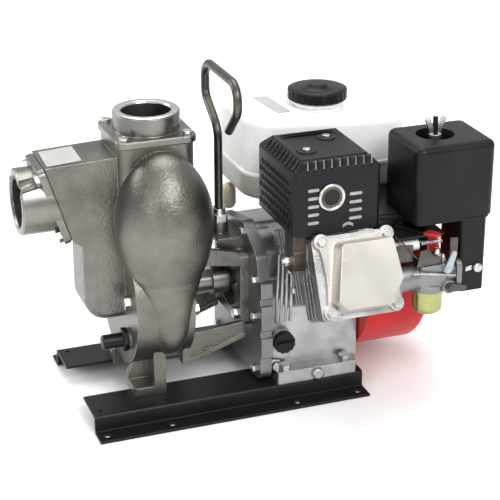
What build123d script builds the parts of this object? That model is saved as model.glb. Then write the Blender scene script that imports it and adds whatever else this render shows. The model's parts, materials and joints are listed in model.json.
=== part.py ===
from build123d import *
import os
from math import cos, radians, sin, tan

# Portable fire pump: a self-priming cast pump on the shaft end of a small petrol engine,
# both carried on two steel rails. Units are millimetres.
# +X runs along the crankshaft from the pump to the engine, -Y is the cylinder side,
# +Z is up. The origin is the centre of the rails' bolt holes, on the surface they stand on.

# ---------------------------------------------------------------- driving dimensions
RAIL_LENGTH = 330.0
RAIL_HEIGHT = 22.5
RAIL_SHEET = 3.0
RAIL_WEB_Y = 92.0
RAIL_SHELF = 52.0
RAIL_TOE = 23.5
BASE_HOLE_Y = 103.8
BASE_HOLE_INNER_X = 77.0
BASE_HOLE_OUTER_X = 154.0
BASE_HOLE_R = 4.0
SPARE_HOLE_Y = 80.0
SPARE_HOLE_R = 2.75

SHAFT_HEIGHT = 106.0
CRANK_Z = RAIL_HEIGHT + SHAFT_HEIGHT
ENGINE_BOLT_X = (69.5, 145.0)
ENGINE_BOLT_Y = 81.0
PTO_FACE_X = 38.0
PTO_PITCH = 65.1
M8_SHANK_R = 4.0
M8_CLEAR_R = 4.4

PORT_BORE_R = 28.75
PORT_RING_R = 38.0
DISCHARGE_X = -68.0
DISCHARGE_TOP_Z = 348.5
DISCHARGE_FLANGE_TOP_Z = 326.8
DISCHARGE_FLANGE = 93.4
DISCHARGE_BOLT = 36.6
SUCTION_Z = 257.6
SUCTION_END_X = -221.0
SUCTION_TILT = 17.25
FLANGE_THICK = 7.5
GASKET = 1.5

CHAMBER_HALF = 33.0
CASTING = 6.0
BULB_X = -65.5
BULB_Y = -52.0
CASING_BACK_X = -48.0
DRUM_R = 82.0
DRUM_FRONT_X = -108.0

CYLINDER_X = 118.0
CYLINDER_TILT = 25.0
BORE_R = 34.0
STROKE = 54.0
ROD_LENGTH = 84.0
DECK = 135.5
HEAD_TOP = 183.0
COVER_OFFSET = -16.5

os.makedirs("parts", exist_ok=True)


def save(builder, name):
    """Label a finished sub-part and write it as its own STEP file."""
    builder.part.label = name
    export_step(builder.part, f"parts/{name}.step")


def hex_bolt(shank_r, length, across, head):
    """A hexagon bolt: its head stands above its own z = 0 and the shank hangs below."""
    with BuildPart(mode=Mode.PRIVATE) as bolt:
        with BuildSketch():
            RegularPolygon(across / 2, 6, major_radius=False)
        extrude(amount=head)
        chamfer(bolt.faces().sort_by(Axis.Z)[-1].edges(), 0.6)
        with BuildSketch():
            Circle(shank_r)
        extrude(amount=-length)
    return bolt.part


def hex_nut(hole_r, across, height):
    """A hexagon nut standing on its own z = 0."""
    with BuildPart(mode=Mode.PRIVATE) as nut:
        with BuildSketch():
            RegularPolygon(across / 2, 6, major_radius=False)
            Circle(hole_r, mode=Mode.SUBTRACT)
        extrude(amount=height)
    return nut.part


def socket_bolt(shank_r, length, head_r, head):
    """A cap screw with a hexagon socket: head above z = 0, shank below."""
    with BuildPart(mode=Mode.PRIVATE) as screw:
        Cylinder(head_r, head, align=(Align.CENTER, Align.CENTER, Align.MIN))
        with BuildSketch(Plane.XY.offset(head)):
            RegularPolygon(head_r * 0.5, 6)
        extrude(amount=-head * 0.5, mode=Mode.SUBTRACT)
        Cylinder(shank_r, length, align=(Align.CENTER, Align.CENTER, Align.MAX))
    return screw.part


def along_x(x, y, z):
    """A plane whose normal is +X, with its own x along Y and its own y along Z."""
    return Plane(origin=(x, y, z), x_dir=(0, 1, 0), z_dir=(1, 0, 0))


def against_x(x, y, z):
    return Plane(origin=(x, y, z), x_dir=(0, 1, 0), z_dir=(-1, 0, 0))


TILT = radians(CYLINDER_TILT)


def cylinder_plane(distance, across=0.0, up=0.0):
    """A plane square to the cylinder at a distance from the crank axis along the bore."""
    y = -distance * cos(TILT) + up * sin(TILT)
    z = CRANK_Z + distance * sin(TILT) + up * cos(TILT)
    normal = (0, -cos(TILT), sin(TILT))
    return Plane(origin=(CYLINDER_X + across, y, z), x_dir=(1, 0, 0), z_dir=normal)


# ---------------------------------------------------------------- rails
rail_outline = [
    (-RAIL_WEB_Y + RAIL_SHELF, RAIL_HEIGHT),
    (-RAIL_WEB_Y, RAIL_HEIGHT),
    (-RAIL_WEB_Y, RAIL_SHEET),
    (-RAIL_WEB_Y - RAIL_TOE, RAIL_SHEET),
    (-RAIL_WEB_Y - RAIL_TOE, 0),
    (-RAIL_WEB_Y + RAIL_SHEET, 0),
    (-RAIL_WEB_Y + RAIL_SHEET, RAIL_HEIGHT - RAIL_SHEET),
    (-RAIL_WEB_Y + RAIL_SHELF, RAIL_HEIGHT - RAIL_SHEET),
]
rail_radii = [0, 4, 1, 0, 0, 4, 1, 0]
base_holes = [(x, -BASE_HOLE_Y) for x in (-BASE_HOLE_OUTER_X, -BASE_HOLE_INNER_X, BASE_HOLE_INNER_X, BASE_HOLE_OUTER_X)]
spare_holes = [(-BASE_HOLE_OUTER_X, -SPARE_HOLE_Y), (-BASE_HOLE_INNER_X, -SPARE_HOLE_Y)]
FOOT_BOLT_X = -90.0
FOOT_BOLT_Y = -54.0

with BuildPart() as rail_near:
    with BuildSketch(Plane.YZ.offset(-RAIL_LENGTH / 2)):
        with BuildLine():
            FilletPolyline(*rail_outline, radius=rail_radii, close=True)
        make_face()
    extrude(amount=RAIL_LENGTH)
    with BuildSketch(Plane.XY):
        with Locations(*base_holes):
            Circle(BASE_HOLE_R)
        with Locations(*spare_holes):
            Circle(SPARE_HOLE_R)
        with Locations(*[(x, -ENGINE_BOLT_Y) for x in ENGINE_BOLT_X], (FOOT_BOLT_X, FOOT_BOLT_Y)):
            Circle(M8_CLEAR_R)
    extrude(amount=RAIL_HEIGHT, mode=Mode.SUBTRACT)
save(rail_near, "rail_near")

with BuildPart() as rail_far:
    mirror(rail_near.part, about=Plane.XZ)
save(rail_far, "rail_far")

ENGINE_FOOT_TOP = 38.0
BOLT_HEAD_M8 = 5.5
engine_bolt = hex_bolt(M8_SHANK_R, ENGINE_FOOT_TOP - RAIL_HEIGHT + RAIL_SHEET + 10, 13, BOLT_HEAD_M8)
engine_nut = hex_nut(M8_SHANK_R + 0.05, 13, 6.5)
with BuildPart() as engine_mount_bolts:
    for x in ENGINE_BOLT_X:
        for y in (-ENGINE_BOLT_Y, ENGINE_BOLT_Y):
            add(engine_bolt.moved(Location((x, y, ENGINE_FOOT_TOP))))
            add(engine_nut.moved(Location((x, y, RAIL_HEIGHT - RAIL_SHEET - 6.5))))
save(engine_mount_bolts, "engine_mount_bolts")

foot_bolt = hex_bolt(M8_SHANK_R, 12, 13, BOLT_HEAD_M8)
with BuildPart() as pump_foot_bolts:
    for y in (FOOT_BOLT_Y, -FOOT_BOLT_Y):
        seat = Plane(origin=(FOOT_BOLT_X, y, RAIL_HEIGHT - RAIL_SHEET), z_dir=(0, 0, -1))
        add(foot_bolt.moved(seat.location))
save(pump_foot_bolts, "pump_foot_bolts")

# ---------------------------------------------------------------- pump casing
# The suction flange leans: its face runs down and towards the engine.
LEAN = radians(SUCTION_TILT)
flange_down = (sin(LEAN), 0, -cos(LEAN))
flange_out = (-cos(LEAN), 0, -sin(LEAN))
FLANGE_TOP = (-202.0, 300.7)
FLANGE_LENGTH = 94.6
FLANGE_HALF_WIDTH = 35.0
FLANGE_BOLT_ALONG = 36.0
FLANGE_BOLT_ACROSS = 26.0
flange_centre_x = FLANGE_TOP[0] + flange_down[0] * FLANGE_LENGTH / 2
flange_centre_z = FLANGE_TOP[1] + flange_down[2] * FLANGE_LENGTH / 2


def suction_plane(inward):
    """A plane parallel to the leaning flange, a distance in from its outer face."""
    x = flange_centre_x - flange_out[0] * inward
    z = flange_centre_z - flange_out[2] * inward
    return Plane(origin=(x, 0, z), x_dir=(0, 1, 0), z_dir=flange_out)


SEAT_IN = FLANGE_THICK + GASKET
seat_top = (FLANGE_TOP[0] - flange_out[0] * SEAT_IN, FLANGE_TOP[1] - flange_out[2] * SEAT_IN)
seat_low = (seat_top[0] + flange_down[0] * FLANGE_LENGTH, seat_top[1] + flange_down[2] * FLANGE_LENGTH)
NECK_TOP_Z = DISCHARGE_FLANGE_TOP_Z - FLANGE_THICK - GASKET
CHAMBER_TOP_Z = 309.0
CHAMBER_FLOOR_Z = 110.6
throat_outline = [
    seat_top,
    (DISCHARGE_X, CHAMBER_TOP_Z),
    (DISCHARGE_X, 190.0),
    (-140.0, 196.0),
    seat_low,
]
tank_outline = [
    (-154.0, 236.0),
    (DISCHARGE_X, 236.0),
    (DISCHARGE_X, CHAMBER_FLOOR_Z),
    (-154.0, CHAMBER_FLOOR_Z),
]
tank_radii = [0, 0, 0, 26]

# The egg-shaped discharge bulb: straight leaning sides, an upright waist and a round crown.
BULB_TIP_Z = 66.0
BULB_CORNER_Z = 205.4
BULB_WAIST_Z = 232.0
BULB_CROWN_Z = 313.0
BULB_R = 56.0
BULB_LEAN = radians(20)
BULB_SIDE_ARC_R = 150.0
CROWN_ARC_R = 40.0
CROWN_ARC_END = radians(42.66)


def bulb(wall, tip_z, tip_arc_r):
    """One discharge bulb, turned about its upright axis and shrunk by a wall thickness."""
    waist_r = BULB_R - wall
    corner_z = BULB_CORNER_Z + wall * tan(BULB_LEAN / 2)
    tip_r = waist_r - (corner_z - tip_z) * tan(BULB_LEAN)
    crown_r = CROWN_ARC_R - wall
    crown_start = (crown_r * cos(CROWN_ARC_END), BULB_CROWN_Z - CROWN_ARC_R + crown_r * sin(CROWN_ARC_END))
    side = [(0, tip_z), (tip_r, tip_z), (waist_r, corner_z), (waist_r, BULB_WAIST_Z)]
    with BuildPart(mode=Mode.PRIVATE) as egg:
        with BuildSketch(Plane.XZ):
            with BuildLine():
                FilletPolyline(*side, radius=[tip_arc_r, BULB_SIDE_ARC_R - wall])
                shoulder = TangentArc((waist_r, BULB_WAIST_Z), crown_start, tangent=(0, 1))
                TangentArc(shoulder @ 1, (0, BULB_CROWN_Z - wall), tangent=shoulder % 1)
                Line((0, BULB_CROWN_Z - wall), (0, tip_z))
            make_face()
        revolve(axis=Axis.Z)
    return egg.part


chamber_hollow = [
    (seat_top[0] + 3, seat_top[1] - CASTING - 1.5),
    (DISCHARGE_X - 50, CHAMBER_TOP_Z - CASTING - 2),
    (DISCHARGE_X - 50, CHAMBER_FLOOR_Z + CASTING),
    (-130.0, CHAMBER_FLOOR_Z + CASTING),
    (-147.5, CHAMBER_FLOOR_Z + 26),
    (-147.5, 204.0),
    (seat_low[0] + 3, seat_low[1] + 9),
    (seat_low[0] - 3, seat_low[1] + 9),
    (seat_top[0] - 3, seat_top[1] - CASTING - 1.5),
]
EYE_R = 22.0
VOLUTE_X = -84.0
VOLUTE_R = 56.0
BACK_PLATE = 8.0
BACK_PLATE_R = 64.0
RING_R = 80.0
RING_THICK = 9.0
RING_BOLT_R = 72.0
RING_BOLTS = 6
RING_BOLT_START = 0.0
FLANGE_SCREW_R = 4.0
DRAIN_THREAD_R = 8.0
FOOT_LOW_X = -109.0
FOOT_HIGH_X = -71.0
FOOT_RIB_X = -85.0
FOOT_FRONT_Y = -63.0
FOOT_BACK_Y = -32.0
FOOT_WEB = 8.0
FOOT_PLATE = 10.5
ROOM_R = RING_R + 0.6
with BuildPart(mode=Mode.PRIVATE) as ring_room:
    with BuildSketch(along_x(CASING_BACK_X - CASTING, 0, CRANK_Z)):
        Circle(ROOM_R + CASTING)
    extrude(amount=130)
bulb_outer = bulb(0, BULB_TIP_Z, 7)
bulb_places = [Location((BULB_X, side * BULB_Y, 0)) for side in (1, -1)]
bulb_hollows = [bulb(CASTING, BULB_TIP_Z + 18, 2).moved(place) - ring_room.part for place in bulb_places]
BULB_PLUG = (-56.0, 141.0)
DRAIN_PORT = (-40.0, 88.0)
BOSS = 16.0
BOSS_FACE_X = DRUM_FRONT_X - 2
# the flap's hinge, given along and square to the leaning suction flange
HINGE_UP = -28.5
HINGE_IN = SEAT_IN + 4.5
HINGE_PIN_R = 2.0
HINGE_PIN_HALF = CHAMBER_HALF - 2.5
hinge_x = flange_centre_x + flange_down[0] * HINGE_UP - flange_out[0] * HINGE_IN
hinge_z = flange_centre_z + flange_down[2] * HINGE_UP - flange_out[2] * HINGE_IN

with BuildPart() as pump_casing:
    with BuildSketch(Plane.XZ.offset(-CHAMBER_HALF)):
        with BuildLine():
            FilletPolyline(*tank_outline, radius=tank_radii, close=True)
        make_face()
    extrude(amount=2 * CHAMBER_HALF)
    side_edges = pump_casing.edges().filter_by(
        lambda edge: abs(abs(edge.center().Y) - CHAMBER_HALF) < 0.01
        and edge.center().X < -92
        and edge.center().Z < 230
    )
    fillet(side_edges, 11)
    with BuildSketch(Plane.XZ.offset(-CHAMBER_HALF)):
        with BuildLine():
            Polyline(*throat_outline, close=True)
        make_face()
    extrude(amount=2 * CHAMBER_HALF)
    # the drum round the impeller, and the ring that the bracket bolts to
    with BuildSketch(Plane.YZ.offset(DRUM_FRONT_X)):
        with Locations((0, CRANK_Z)):
            Circle(DRUM_R)
    extrude(amount=CASING_BACK_X - DRUM_FRONT_X)
    # the neck under the discharge flange
    with BuildSketch(Plane.XY.offset(NECK_TOP_Z)):
        with Locations((DISCHARGE_X, 0)):
            RectangleRounded(DISCHARGE_FLANGE - 4, DISCHARGE_FLANGE - 6, 14)
    extrude(amount=-60)
    for place in bulb_places:
        add(bulb_outer.moved(place))
    # boss for the drain plug and boss for the priming-chamber plug
    for y, z in (DRAIN_PORT, BULB_PLUG):
        with BuildSketch(against_x(BOSS_FACE_X + BOSS, y, z)):
            Circle(13 if z < 100 else 9)
        extrude(amount=BOSS)
    # the two feet
    for side in (1, -1):
        with BuildSketch(Plane.XY.offset(RAIL_HEIGHT)):
            with Locations(((FOOT_LOW_X + FOOT_HIGH_X) / 2, side * (FOOT_FRONT_Y + FOOT_BACK_Y) / 2)):
                RectangleRounded(FOOT_HIGH_X - FOOT_LOW_X, FOOT_BACK_Y - FOOT_FRONT_Y, 3)
        extrude(amount=FOOT_PLATE)
        with BuildSketch(Plane.XY.offset(RAIL_HEIGHT)):
            with Locations(((FOOT_RIB_X + FOOT_HIGH_X) / 2, side * (FOOT_FRONT_Y + FOOT_BACK_Y) / 2)):
                Rectangle(FOOT_HIGH_X - FOOT_RIB_X, FOOT_BACK_Y - FOOT_FRONT_Y)
        extrude(amount=75)
        with BuildSketch(Plane.XZ.offset(-side * FOOT_BACK_Y - FOOT_WEB / 2)):
            with BuildLine():
                Line((FOOT_LOW_X, RAIL_HEIGHT), (FOOT_HIGH_X, RAIL_HEIGHT))
                Line((FOOT_HIGH_X, RAIL_HEIGHT), (FOOT_HIGH_X, 100))
                Line((FOOT_HIGH_X, 100), (-100, 100))
                ThreePointArc((-100, 100), (-101, 62), (FOOT_LOW_X, RAIL_HEIGHT + 18))
                Line((FOOT_LOW_X, RAIL_HEIGHT + 18), (FOOT_LOW_X, RAIL_HEIGHT))
            make_face()
        extrude(amount=FOOT_WEB)
    # passages: suction chamber, impeller eye, volute, discharge bulbs and neck
    with BuildSketch(Plane.XZ.offset(-CHAMBER_HALF + CASTING)):
        with BuildLine():
            Polyline(*chamber_hollow, close=True)
        make_face()
    extrude(amount=2 * (CHAMBER_HALF - CASTING), mode=Mode.SUBTRACT)
    with BuildSketch(Plane.YZ.offset(DISCHARGE_X - 55)):
        with Locations((0, CRANK_Z)):
            Circle(EYE_R)
    extrude(amount=50, mode=Mode.SUBTRACT)
    with BuildSketch(Plane.YZ.offset(VOLUTE_X)):
        with Locations((0, CRANK_Z)):
            Circle(VOLUTE_R)
    extrude(amount=CASING_BACK_X - VOLUTE_X, mode=Mode.SUBTRACT)
    with BuildSketch(Plane.YZ.offset(CASING_BACK_X - BACK_PLATE)):
        with Locations((0, CRANK_Z)):
            Circle(BACK_PLATE_R + 0.3)
    extrude(amount=BACK_PLATE, mode=Mode.SUBTRACT)
    for hollow in bulb_hollows:
        add(hollow, mode=Mode.SUBTRACT)
    with BuildSketch(Plane.XY.offset(NECK_TOP_Z)):
        with Locations((DISCHARGE_X, 0)):
            Circle(PORT_BORE_R)
    extrude(amount=-12, mode=Mode.SUBTRACT)
    with BuildSketch(Plane.XY.offset(NECK_TOP_Z - 12)):
        with Locations((DISCHARGE_X, 0)):
            RectangleRounded(60, 76, 10)
    extrude(amount=-30, mode=Mode.SUBTRACT)
    # room for the bracket's ring behind the casing
    with BuildSketch(Plane.YZ.offset(CASING_BACK_X)):
        with Locations((0, CRANK_Z)):
            Circle(ROOM_R)
    extrude(amount=120, mode=Mode.SUBTRACT)
    # threaded holes: bracket bolts, discharge flange bolts, suction flange bolts, plugs, feet
    with BuildSketch(Plane.YZ.offset(CASING_BACK_X)):
        with Locations((0, CRANK_Z)):
            with PolarLocations(RING_BOLT_R, RING_BOLTS, start_angle=RING_BOLT_START):
                Circle(M8_SHANK_R + 0.05)
    extrude(amount=-14, mode=Mode.SUBTRACT)
    with BuildSketch(Plane.XY.offset(NECK_TOP_Z)):
        with Locations((DISCHARGE_X, 0)):
            with GridLocations(2 * DISCHARGE_BOLT, 2 * DISCHARGE_BOLT, 2, 2):
                Circle(FLANGE_SCREW_R + 0.05)
    extrude(amount=-14, mode=Mode.SUBTRACT)
    with BuildSketch(suction_plane(SEAT_IN)):
        with GridLocations(2 * FLANGE_BOLT_ACROSS, 2 * FLANGE_BOLT_ALONG, 2, 2):
            Circle(FLANGE_SCREW_R + 0.05)
    extrude(amount=-12, mode=Mode.SUBTRACT)
    with BuildSketch(against_x(BOSS_FACE_X, DRAIN_PORT[0], DRAIN_PORT[1])):
        Circle(DRAIN_THREAD_R + 0.05)
    extrude(amount=-14, mode=Mode.SUBTRACT)
    with BuildSketch(against_x(BOSS_FACE_X, BULB_PLUG[0], BULB_PLUG[1])):
        Circle(FLANGE_SCREW_R + 0.05)
    extrude(amount=-12, mode=Mode.SUBTRACT)
    with BuildSketch(Plane.XY.offset(RAIL_HEIGHT)):
        with Locations((FOOT_BOLT_X, FOOT_BOLT_Y), (FOOT_BOLT_X, -FOOT_BOLT_Y)):
            Circle(M8_SHANK_R + 0.05)
    extrude(amount=9.5, mode=Mode.SUBTRACT)
    with BuildSketch(Plane.XZ.offset(-HINGE_PIN_HALF - 0.3)):
        with Locations((hinge_x, hinge_z)):
            Circle(HINGE_PIN_R + 0.05)
    extrude(amount=2 * HINGE_PIN_HALF + 0.6, mode=Mode.SUBTRACT)
save(pump_casing, "pump_casing")

with BuildPart() as discharge_gasket:
    with BuildSketch(Plane.XY.offset(NECK_TOP_Z)):
        with Locations((DISCHARGE_X, 0)):
            RectangleRounded(DISCHARGE_FLANGE - 4, DISCHARGE_FLANGE - 6, 14)
            Circle(PORT_BORE_R + 1, mode=Mode.SUBTRACT)
            with GridLocations(2 * DISCHARGE_BOLT, 2 * DISCHARGE_BOLT, 2, 2):
                Circle(FLANGE_SCREW_R + 0.4, mode=Mode.SUBTRACT)
    extrude(amount=GASKET)
save(discharge_gasket, "discharge_gasket")

with BuildPart() as discharge_flange:
    with BuildSketch(Plane.XY.offset(DISCHARGE_FLANGE_TOP_Z - FLANGE_THICK)):
        with Locations((DISCHARGE_X, 0)):
            RectangleRounded(DISCHARGE_FLANGE, DISCHARGE_FLANGE, 12)
    extrude(amount=FLANGE_THICK)
    chamfer(discharge_flange.faces().sort_by(Axis.Z)[-1].edges(), 0.8)
    with BuildSketch(Plane.XY.offset(DISCHARGE_FLANGE_TOP_Z)):
        with Locations((DISCHARGE_X, 0)):
            Circle(PORT_RING_R)
    extrude(amount=DISCHARGE_TOP_Z - DISCHARGE_FLANGE_TOP_Z)
    chamfer(discharge_flange.faces().sort_by(Axis.Z)[-1].edges(), 1.5)
    with BuildSketch(Plane.XY.offset(DISCHARGE_FLANGE_TOP_Z - FLANGE_THICK)):
        with Locations((DISCHARGE_X, 0)):
            Circle(PORT_BORE_R)
            with GridLocations(2 * DISCHARGE_BOLT, 2 * DISCHARGE_BOLT, 2, 2):
                Circle(FLANGE_SCREW_R + 0.4)
    extrude(amount=40, mode=Mode.SUBTRACT)
    throat_edge = discharge_flange.edges().filter_by(GeomType.CIRCLE).group_by(Axis.Z)[-1].sort_by(SortBy.RADIUS)[0]
    chamfer(throat_edge, 2)
save(discharge_flange, "discharge_flange")

discharge_screw = socket_bolt(FLANGE_SCREW_R, FLANGE_THICK + GASKET + 11, 5.5, 4.0)
with BuildPart() as discharge_flange_bolts:
    for x in (-DISCHARGE_BOLT, DISCHARGE_BOLT):
        for y in (-DISCHARGE_BOLT, DISCHARGE_BOLT):
            add(discharge_screw.moved(Location((DISCHARGE_X + x, y, DISCHARGE_FLANGE_TOP_Z))))
save(discharge_flange_bolts, "discharge_flange_bolts")

SEAT_R = 21.5
SEAT_UP = -2.2
with BuildPart() as suction_gasket:
    with BuildSketch(suction_plane(SEAT_IN)):
        RectangleRounded(2 * FLANGE_HALF_WIDTH - 4, FLANGE_LENGTH - 3, 8)
        with Locations((0, SEAT_UP)):
            Circle(SEAT_R + 1.5, mode=Mode.SUBTRACT)
        with GridLocations(2 * FLANGE_BOLT_ACROSS, 2 * FLANGE_BOLT_ALONG, 2, 2):
            Circle(FLANGE_SCREW_R + 0.4, mode=Mode.SUBTRACT)
    extrude(amount=GASKET)
save(suction_gasket, "suction_gasket")

SUCTION_THREAD = 19.0
with BuildPart() as suction_flange:
    with BuildSketch(suction_plane(FLANGE_THICK)):
        RectangleRounded(2 * FLANGE_HALF_WIDTH, FLANGE_LENGTH, 9)
    extrude(amount=FLANGE_THICK)
    with BuildSketch(Plane.YZ.offset(SUCTION_END_X)):
        with Locations((0, SUCTION_Z)):
            Circle(PORT_RING_R)
    extrude(until=Until.NEXT)
    inner = suction_plane(FLANGE_THICK)
    split(bisect_by=inner, keep=Keep.TOP)
    end_rim = suction_flange.faces().sort_by(Axis.X)[0].edges()
    chamfer(end_rim, 1.5)
    with BuildSketch(Plane.YZ.offset(SUCTION_END_X)):
        with Locations((0, SUCTION_Z)):
            Circle(PORT_BORE_R)
    extrude(amount=SUCTION_THREAD, mode=Mode.SUBTRACT)
    with BuildSketch(Plane.YZ.offset(SUCTION_END_X)):
        with Locations((0, SUCTION_Z)):
            Circle(SEAT_R)
    extrude(amount=60, mode=Mode.SUBTRACT)
    mouth_rim = suction_flange.faces().sort_by(Axis.X)[0].edges().sort_by(SortBy.RADIUS)[0]
    chamfer(mouth_rim, 2)
    with BuildSketch(suction_plane(FLANGE_THICK)):
        with GridLocations(2 * FLANGE_BOLT_ACROSS, 2 * FLANGE_BOLT_ALONG, 2, 2):
            Circle(FLANGE_SCREW_R + 0.4)
    extrude(amount=60, mode=Mode.SUBTRACT)
    # spot faces for the bolt heads beside the pipe
    with BuildSketch(suction_plane(0)):
        with GridLocations(2 * FLANGE_BOLT_ACROSS, 2 * FLANGE_BOLT_ALONG, 2, 2):
            Circle(8)
    extrude(amount=60, mode=Mode.SUBTRACT)
save(suction_flange, "suction_flange")

suction_screw = hex_bolt(FLANGE_SCREW_R, FLANGE_THICK + GASKET + 10, 13, 5.3)
with BuildPart() as suction_flange_bolts:
    for across in (-FLANGE_BOLT_ACROSS, FLANGE_BOLT_ACROSS):
        for along in (-FLANGE_BOLT_ALONG, FLANGE_BOLT_ALONG):
            add(suction_screw.moved(suction_plane(0).location * Pos(across, along, 0)))
save(suction_flange_bolts, "suction_flange_bolts")

# The check valve flap hangs on its own trunnions behind the suction flange and falls shut.
FLAP_THICK = 5.0
FLAP_GAP = 0.35
FLAP_R = 25.5
BARREL_R = 4.0
BARREL_HALF = 18.0
with BuildPart() as check_valve_flap:
    with BuildSketch(suction_plane(SEAT_IN + FLAP_GAP + FLAP_THICK)):
        with Locations((0, SEAT_UP)):
            Circle(FLAP_R)
        with Locations((0, (HINGE_UP + SEAT_UP) / 2)):
            Rectangle(2 * BARREL_HALF, SEAT_UP - HINGE_UP)
    extrude(amount=FLAP_THICK)
    with BuildSketch(Plane.XZ.offset(-BARREL_HALF)):
        with Locations((hinge_x, hinge_z)):
            Circle(BARREL_R)
    extrude(amount=2 * BARREL_HALF)
    with BuildSketch(Plane.XZ.offset(-HINGE_PIN_HALF)):
        with Locations((hinge_x, hinge_z)):
            Circle(HINGE_PIN_R)
    extrude(amount=2 * HINGE_PIN_HALF)
save(check_valve_flap, "check_valve_flap")

DRAIN_HEX = 24.0
DRAIN_COLLAR = 6.0
DRAIN_REACH = 30.0
with BuildPart() as drain_plug:
    with BuildSketch(against_x(BOSS_FACE_X, DRAIN_PORT[0], DRAIN_PORT[1])):
        RegularPolygon(DRAIN_HEX / 2, 6, major_radius=False)
    extrude(amount=DRAIN_COLLAR)
    with BuildSketch(against_x(BOSS_FACE_X, DRAIN_PORT[0], DRAIN_PORT[1])):
        Circle(8.5)
    extrude(amount=DRAIN_REACH)
    chamfer(drain_plug.faces().sort_by(Axis.X)[0].edges(), 1.5)
    with BuildSketch(against_x(BOSS_FACE_X, DRAIN_PORT[0], DRAIN_PORT[1])):
        Circle(DRAIN_THREAD_R)
    extrude(amount=-12)
save(drain_plug, "drain_plug")

priming_seat = against_x(BOSS_FACE_X, BULB_PLUG[0], BULB_PLUG[1])
with BuildPart() as priming_plug:
    add(hex_bolt(FLANGE_SCREW_R, 10, 14, 7).moved(priming_seat.location))
save(priming_plug, "priming_plug")

# ---------------------------------------------------------------- rotating pump parts
PUMP_SHAFT_R = 12.5
ENGINE_SHAFT_R = 9.525
ENGINE_SHAFT_TIP_X = -24.0
SLEEVE_END_X = 24.0
COLLAR_R = 18.0
IMPELLER_R = 48.0
IMPELLER_FRONT_X = -80.0
IMPELLER_BACK_X = -64.0
HUB_R = 16.0
HUB_BORE_DEEP = 10.0
VANES = 5
VANE_THICK = 3.5
SEAL_R = 22.0
SEAL_RING_R = 18.5
RUNNING_FIT = 0.03
SHAFT_HOLE_R = PUMP_SHAFT_R + RUNNING_FIT

with BuildPart() as back_plate:
    with BuildSketch(along_x(CASING_BACK_X - BACK_PLATE, 0, CRANK_Z)):
        Circle(BACK_PLATE_R)
        Circle(SEAL_R + 0.02, mode=Mode.SUBTRACT)
    extrude(amount=BACK_PLATE)
save(back_plate, "back_plate")

with BuildPart() as seal_seat:
    with BuildSketch(along_x(CASING_BACK_X - BACK_PLATE, 0, CRANK_Z)):
        Circle(SEAL_R)
        Circle(PUMP_SHAFT_R + 0.6, mode=Mode.SUBTRACT)
    extrude(amount=BACK_PLATE)
save(seal_seat, "seal_seat")

with BuildPart() as seal_ring:
    with BuildSketch(along_x(IMPELLER_BACK_X + 0.1, 0, CRANK_Z)):
        Circle(SEAL_RING_R)
        Circle(SHAFT_HOLE_R, mode=Mode.SUBTRACT)
    extrude(amount=CASING_BACK_X - BACK_PLATE - IMPELLER_BACK_X - 0.2)
save(seal_ring, "seal_ring")


def vane_point(radius, angle):
    """A point of a vane's centre line, in the impeller's own plane."""
    return (radius * cos(radians(angle)), radius * sin(radians(angle)))


with BuildSketch(mode=Mode.PRIVATE) as vane:
    with BuildLine() as vane_line:
        ThreePointArc(vane_point(HUB_R - 2, 0), vane_point(31, -24), vane_point(IMPELLER_R - 0.5, -62))
    trace(vane_line.line, line_width=VANE_THICK)

with BuildPart() as impeller:
    with BuildSketch(along_x(IMPELLER_BACK_X - 4, 0, CRANK_Z)):
        Circle(IMPELLER_R)
    extrude(amount=4)
    with BuildSketch(along_x(IMPELLER_FRONT_X, 0, CRANK_Z)):
        Circle(HUB_R)
    extrude(amount=IMPELLER_BACK_X - IMPELLER_FRONT_X)
    with BuildSketch(along_x(IMPELLER_FRONT_X + 2, 0, CRANK_Z)):
        for turn in range(VANES):
            add(vane.sketch, rotation=turn * 360 / VANES)
    extrude(amount=IMPELLER_BACK_X - IMPELLER_FRONT_X - 4)
    with BuildSketch(along_x(IMPELLER_BACK_X, 0, CRANK_Z)):
        Circle(SHAFT_HOLE_R)
    extrude(amount=-HUB_BORE_DEEP - 0.2, mode=Mode.SUBTRACT)
save(impeller, "impeller")

SET_SCREW_X = 15.0
with BuildPart() as pump_shaft:
    with BuildSketch(along_x(IMPELLER_BACK_X - HUB_BORE_DEEP, 0, CRANK_Z)):
        Circle(PUMP_SHAFT_R)
    extrude(amount=SLEEVE_END_X - IMPELLER_BACK_X + HUB_BORE_DEEP)
    with BuildSketch(along_x(SLEEVE_END_X - 20, 0, CRANK_Z)):
        Circle(COLLAR_R)
    extrude(amount=20)
    with BuildSketch(along_x(ENGINE_SHAFT_TIP_X - 1, 0, CRANK_Z)):
        Circle(ENGINE_SHAFT_R + RUNNING_FIT)
    extrude(amount=60, mode=Mode.SUBTRACT)
    # the set screw's head stands out of the collar
    with BuildSketch(Plane.XY.offset(CRANK_Z + COLLAR_R - 1)):
        with Locations((SET_SCREW_X, 0)):
            RegularPolygon(4, 6, major_radius=False)
    extrude(amount=6)
save(pump_shaft, "pump_shaft")

# ---------------------------------------------------------------- bracket between pump and engine
ENGINE_PAD = 46.0
ENGINE_PAD_X = 27.0
ENGINE_PAD_BORE_R = 34.0
PTO_BOLT_R = 4.0
BRACKET_BORE_R = 50.0
RING_BACK_X = CASING_BACK_X + RING_THICK
ARM_WEB_Y = 48.5
ARM_WEB = 7.0
TOP_PLATE_Z = 186.0
HANDLE_X = 17.0
HANDLE_BOSS_TOP_Z = 203.0
lower_arm = [(RING_BACK_X - 4, 50), (ENGINE_PAD_X + 2, 74), (ENGINE_PAD_X + 2, 92), (RING_BACK_X - 4, 86)]
lower_flange = [(RING_BACK_X - 4, 50), (ENGINE_PAD_X + 2, 74), (ENGINE_PAD_X + 2, 80), (RING_BACK_X - 4, 56)]
upper_arm = [(RING_BACK_X - 4, 170), (ENGINE_PAD_X + 2, 160), (ENGINE_PAD_X + 2, 176), (RING_BACK_X - 4, 194)]
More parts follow.
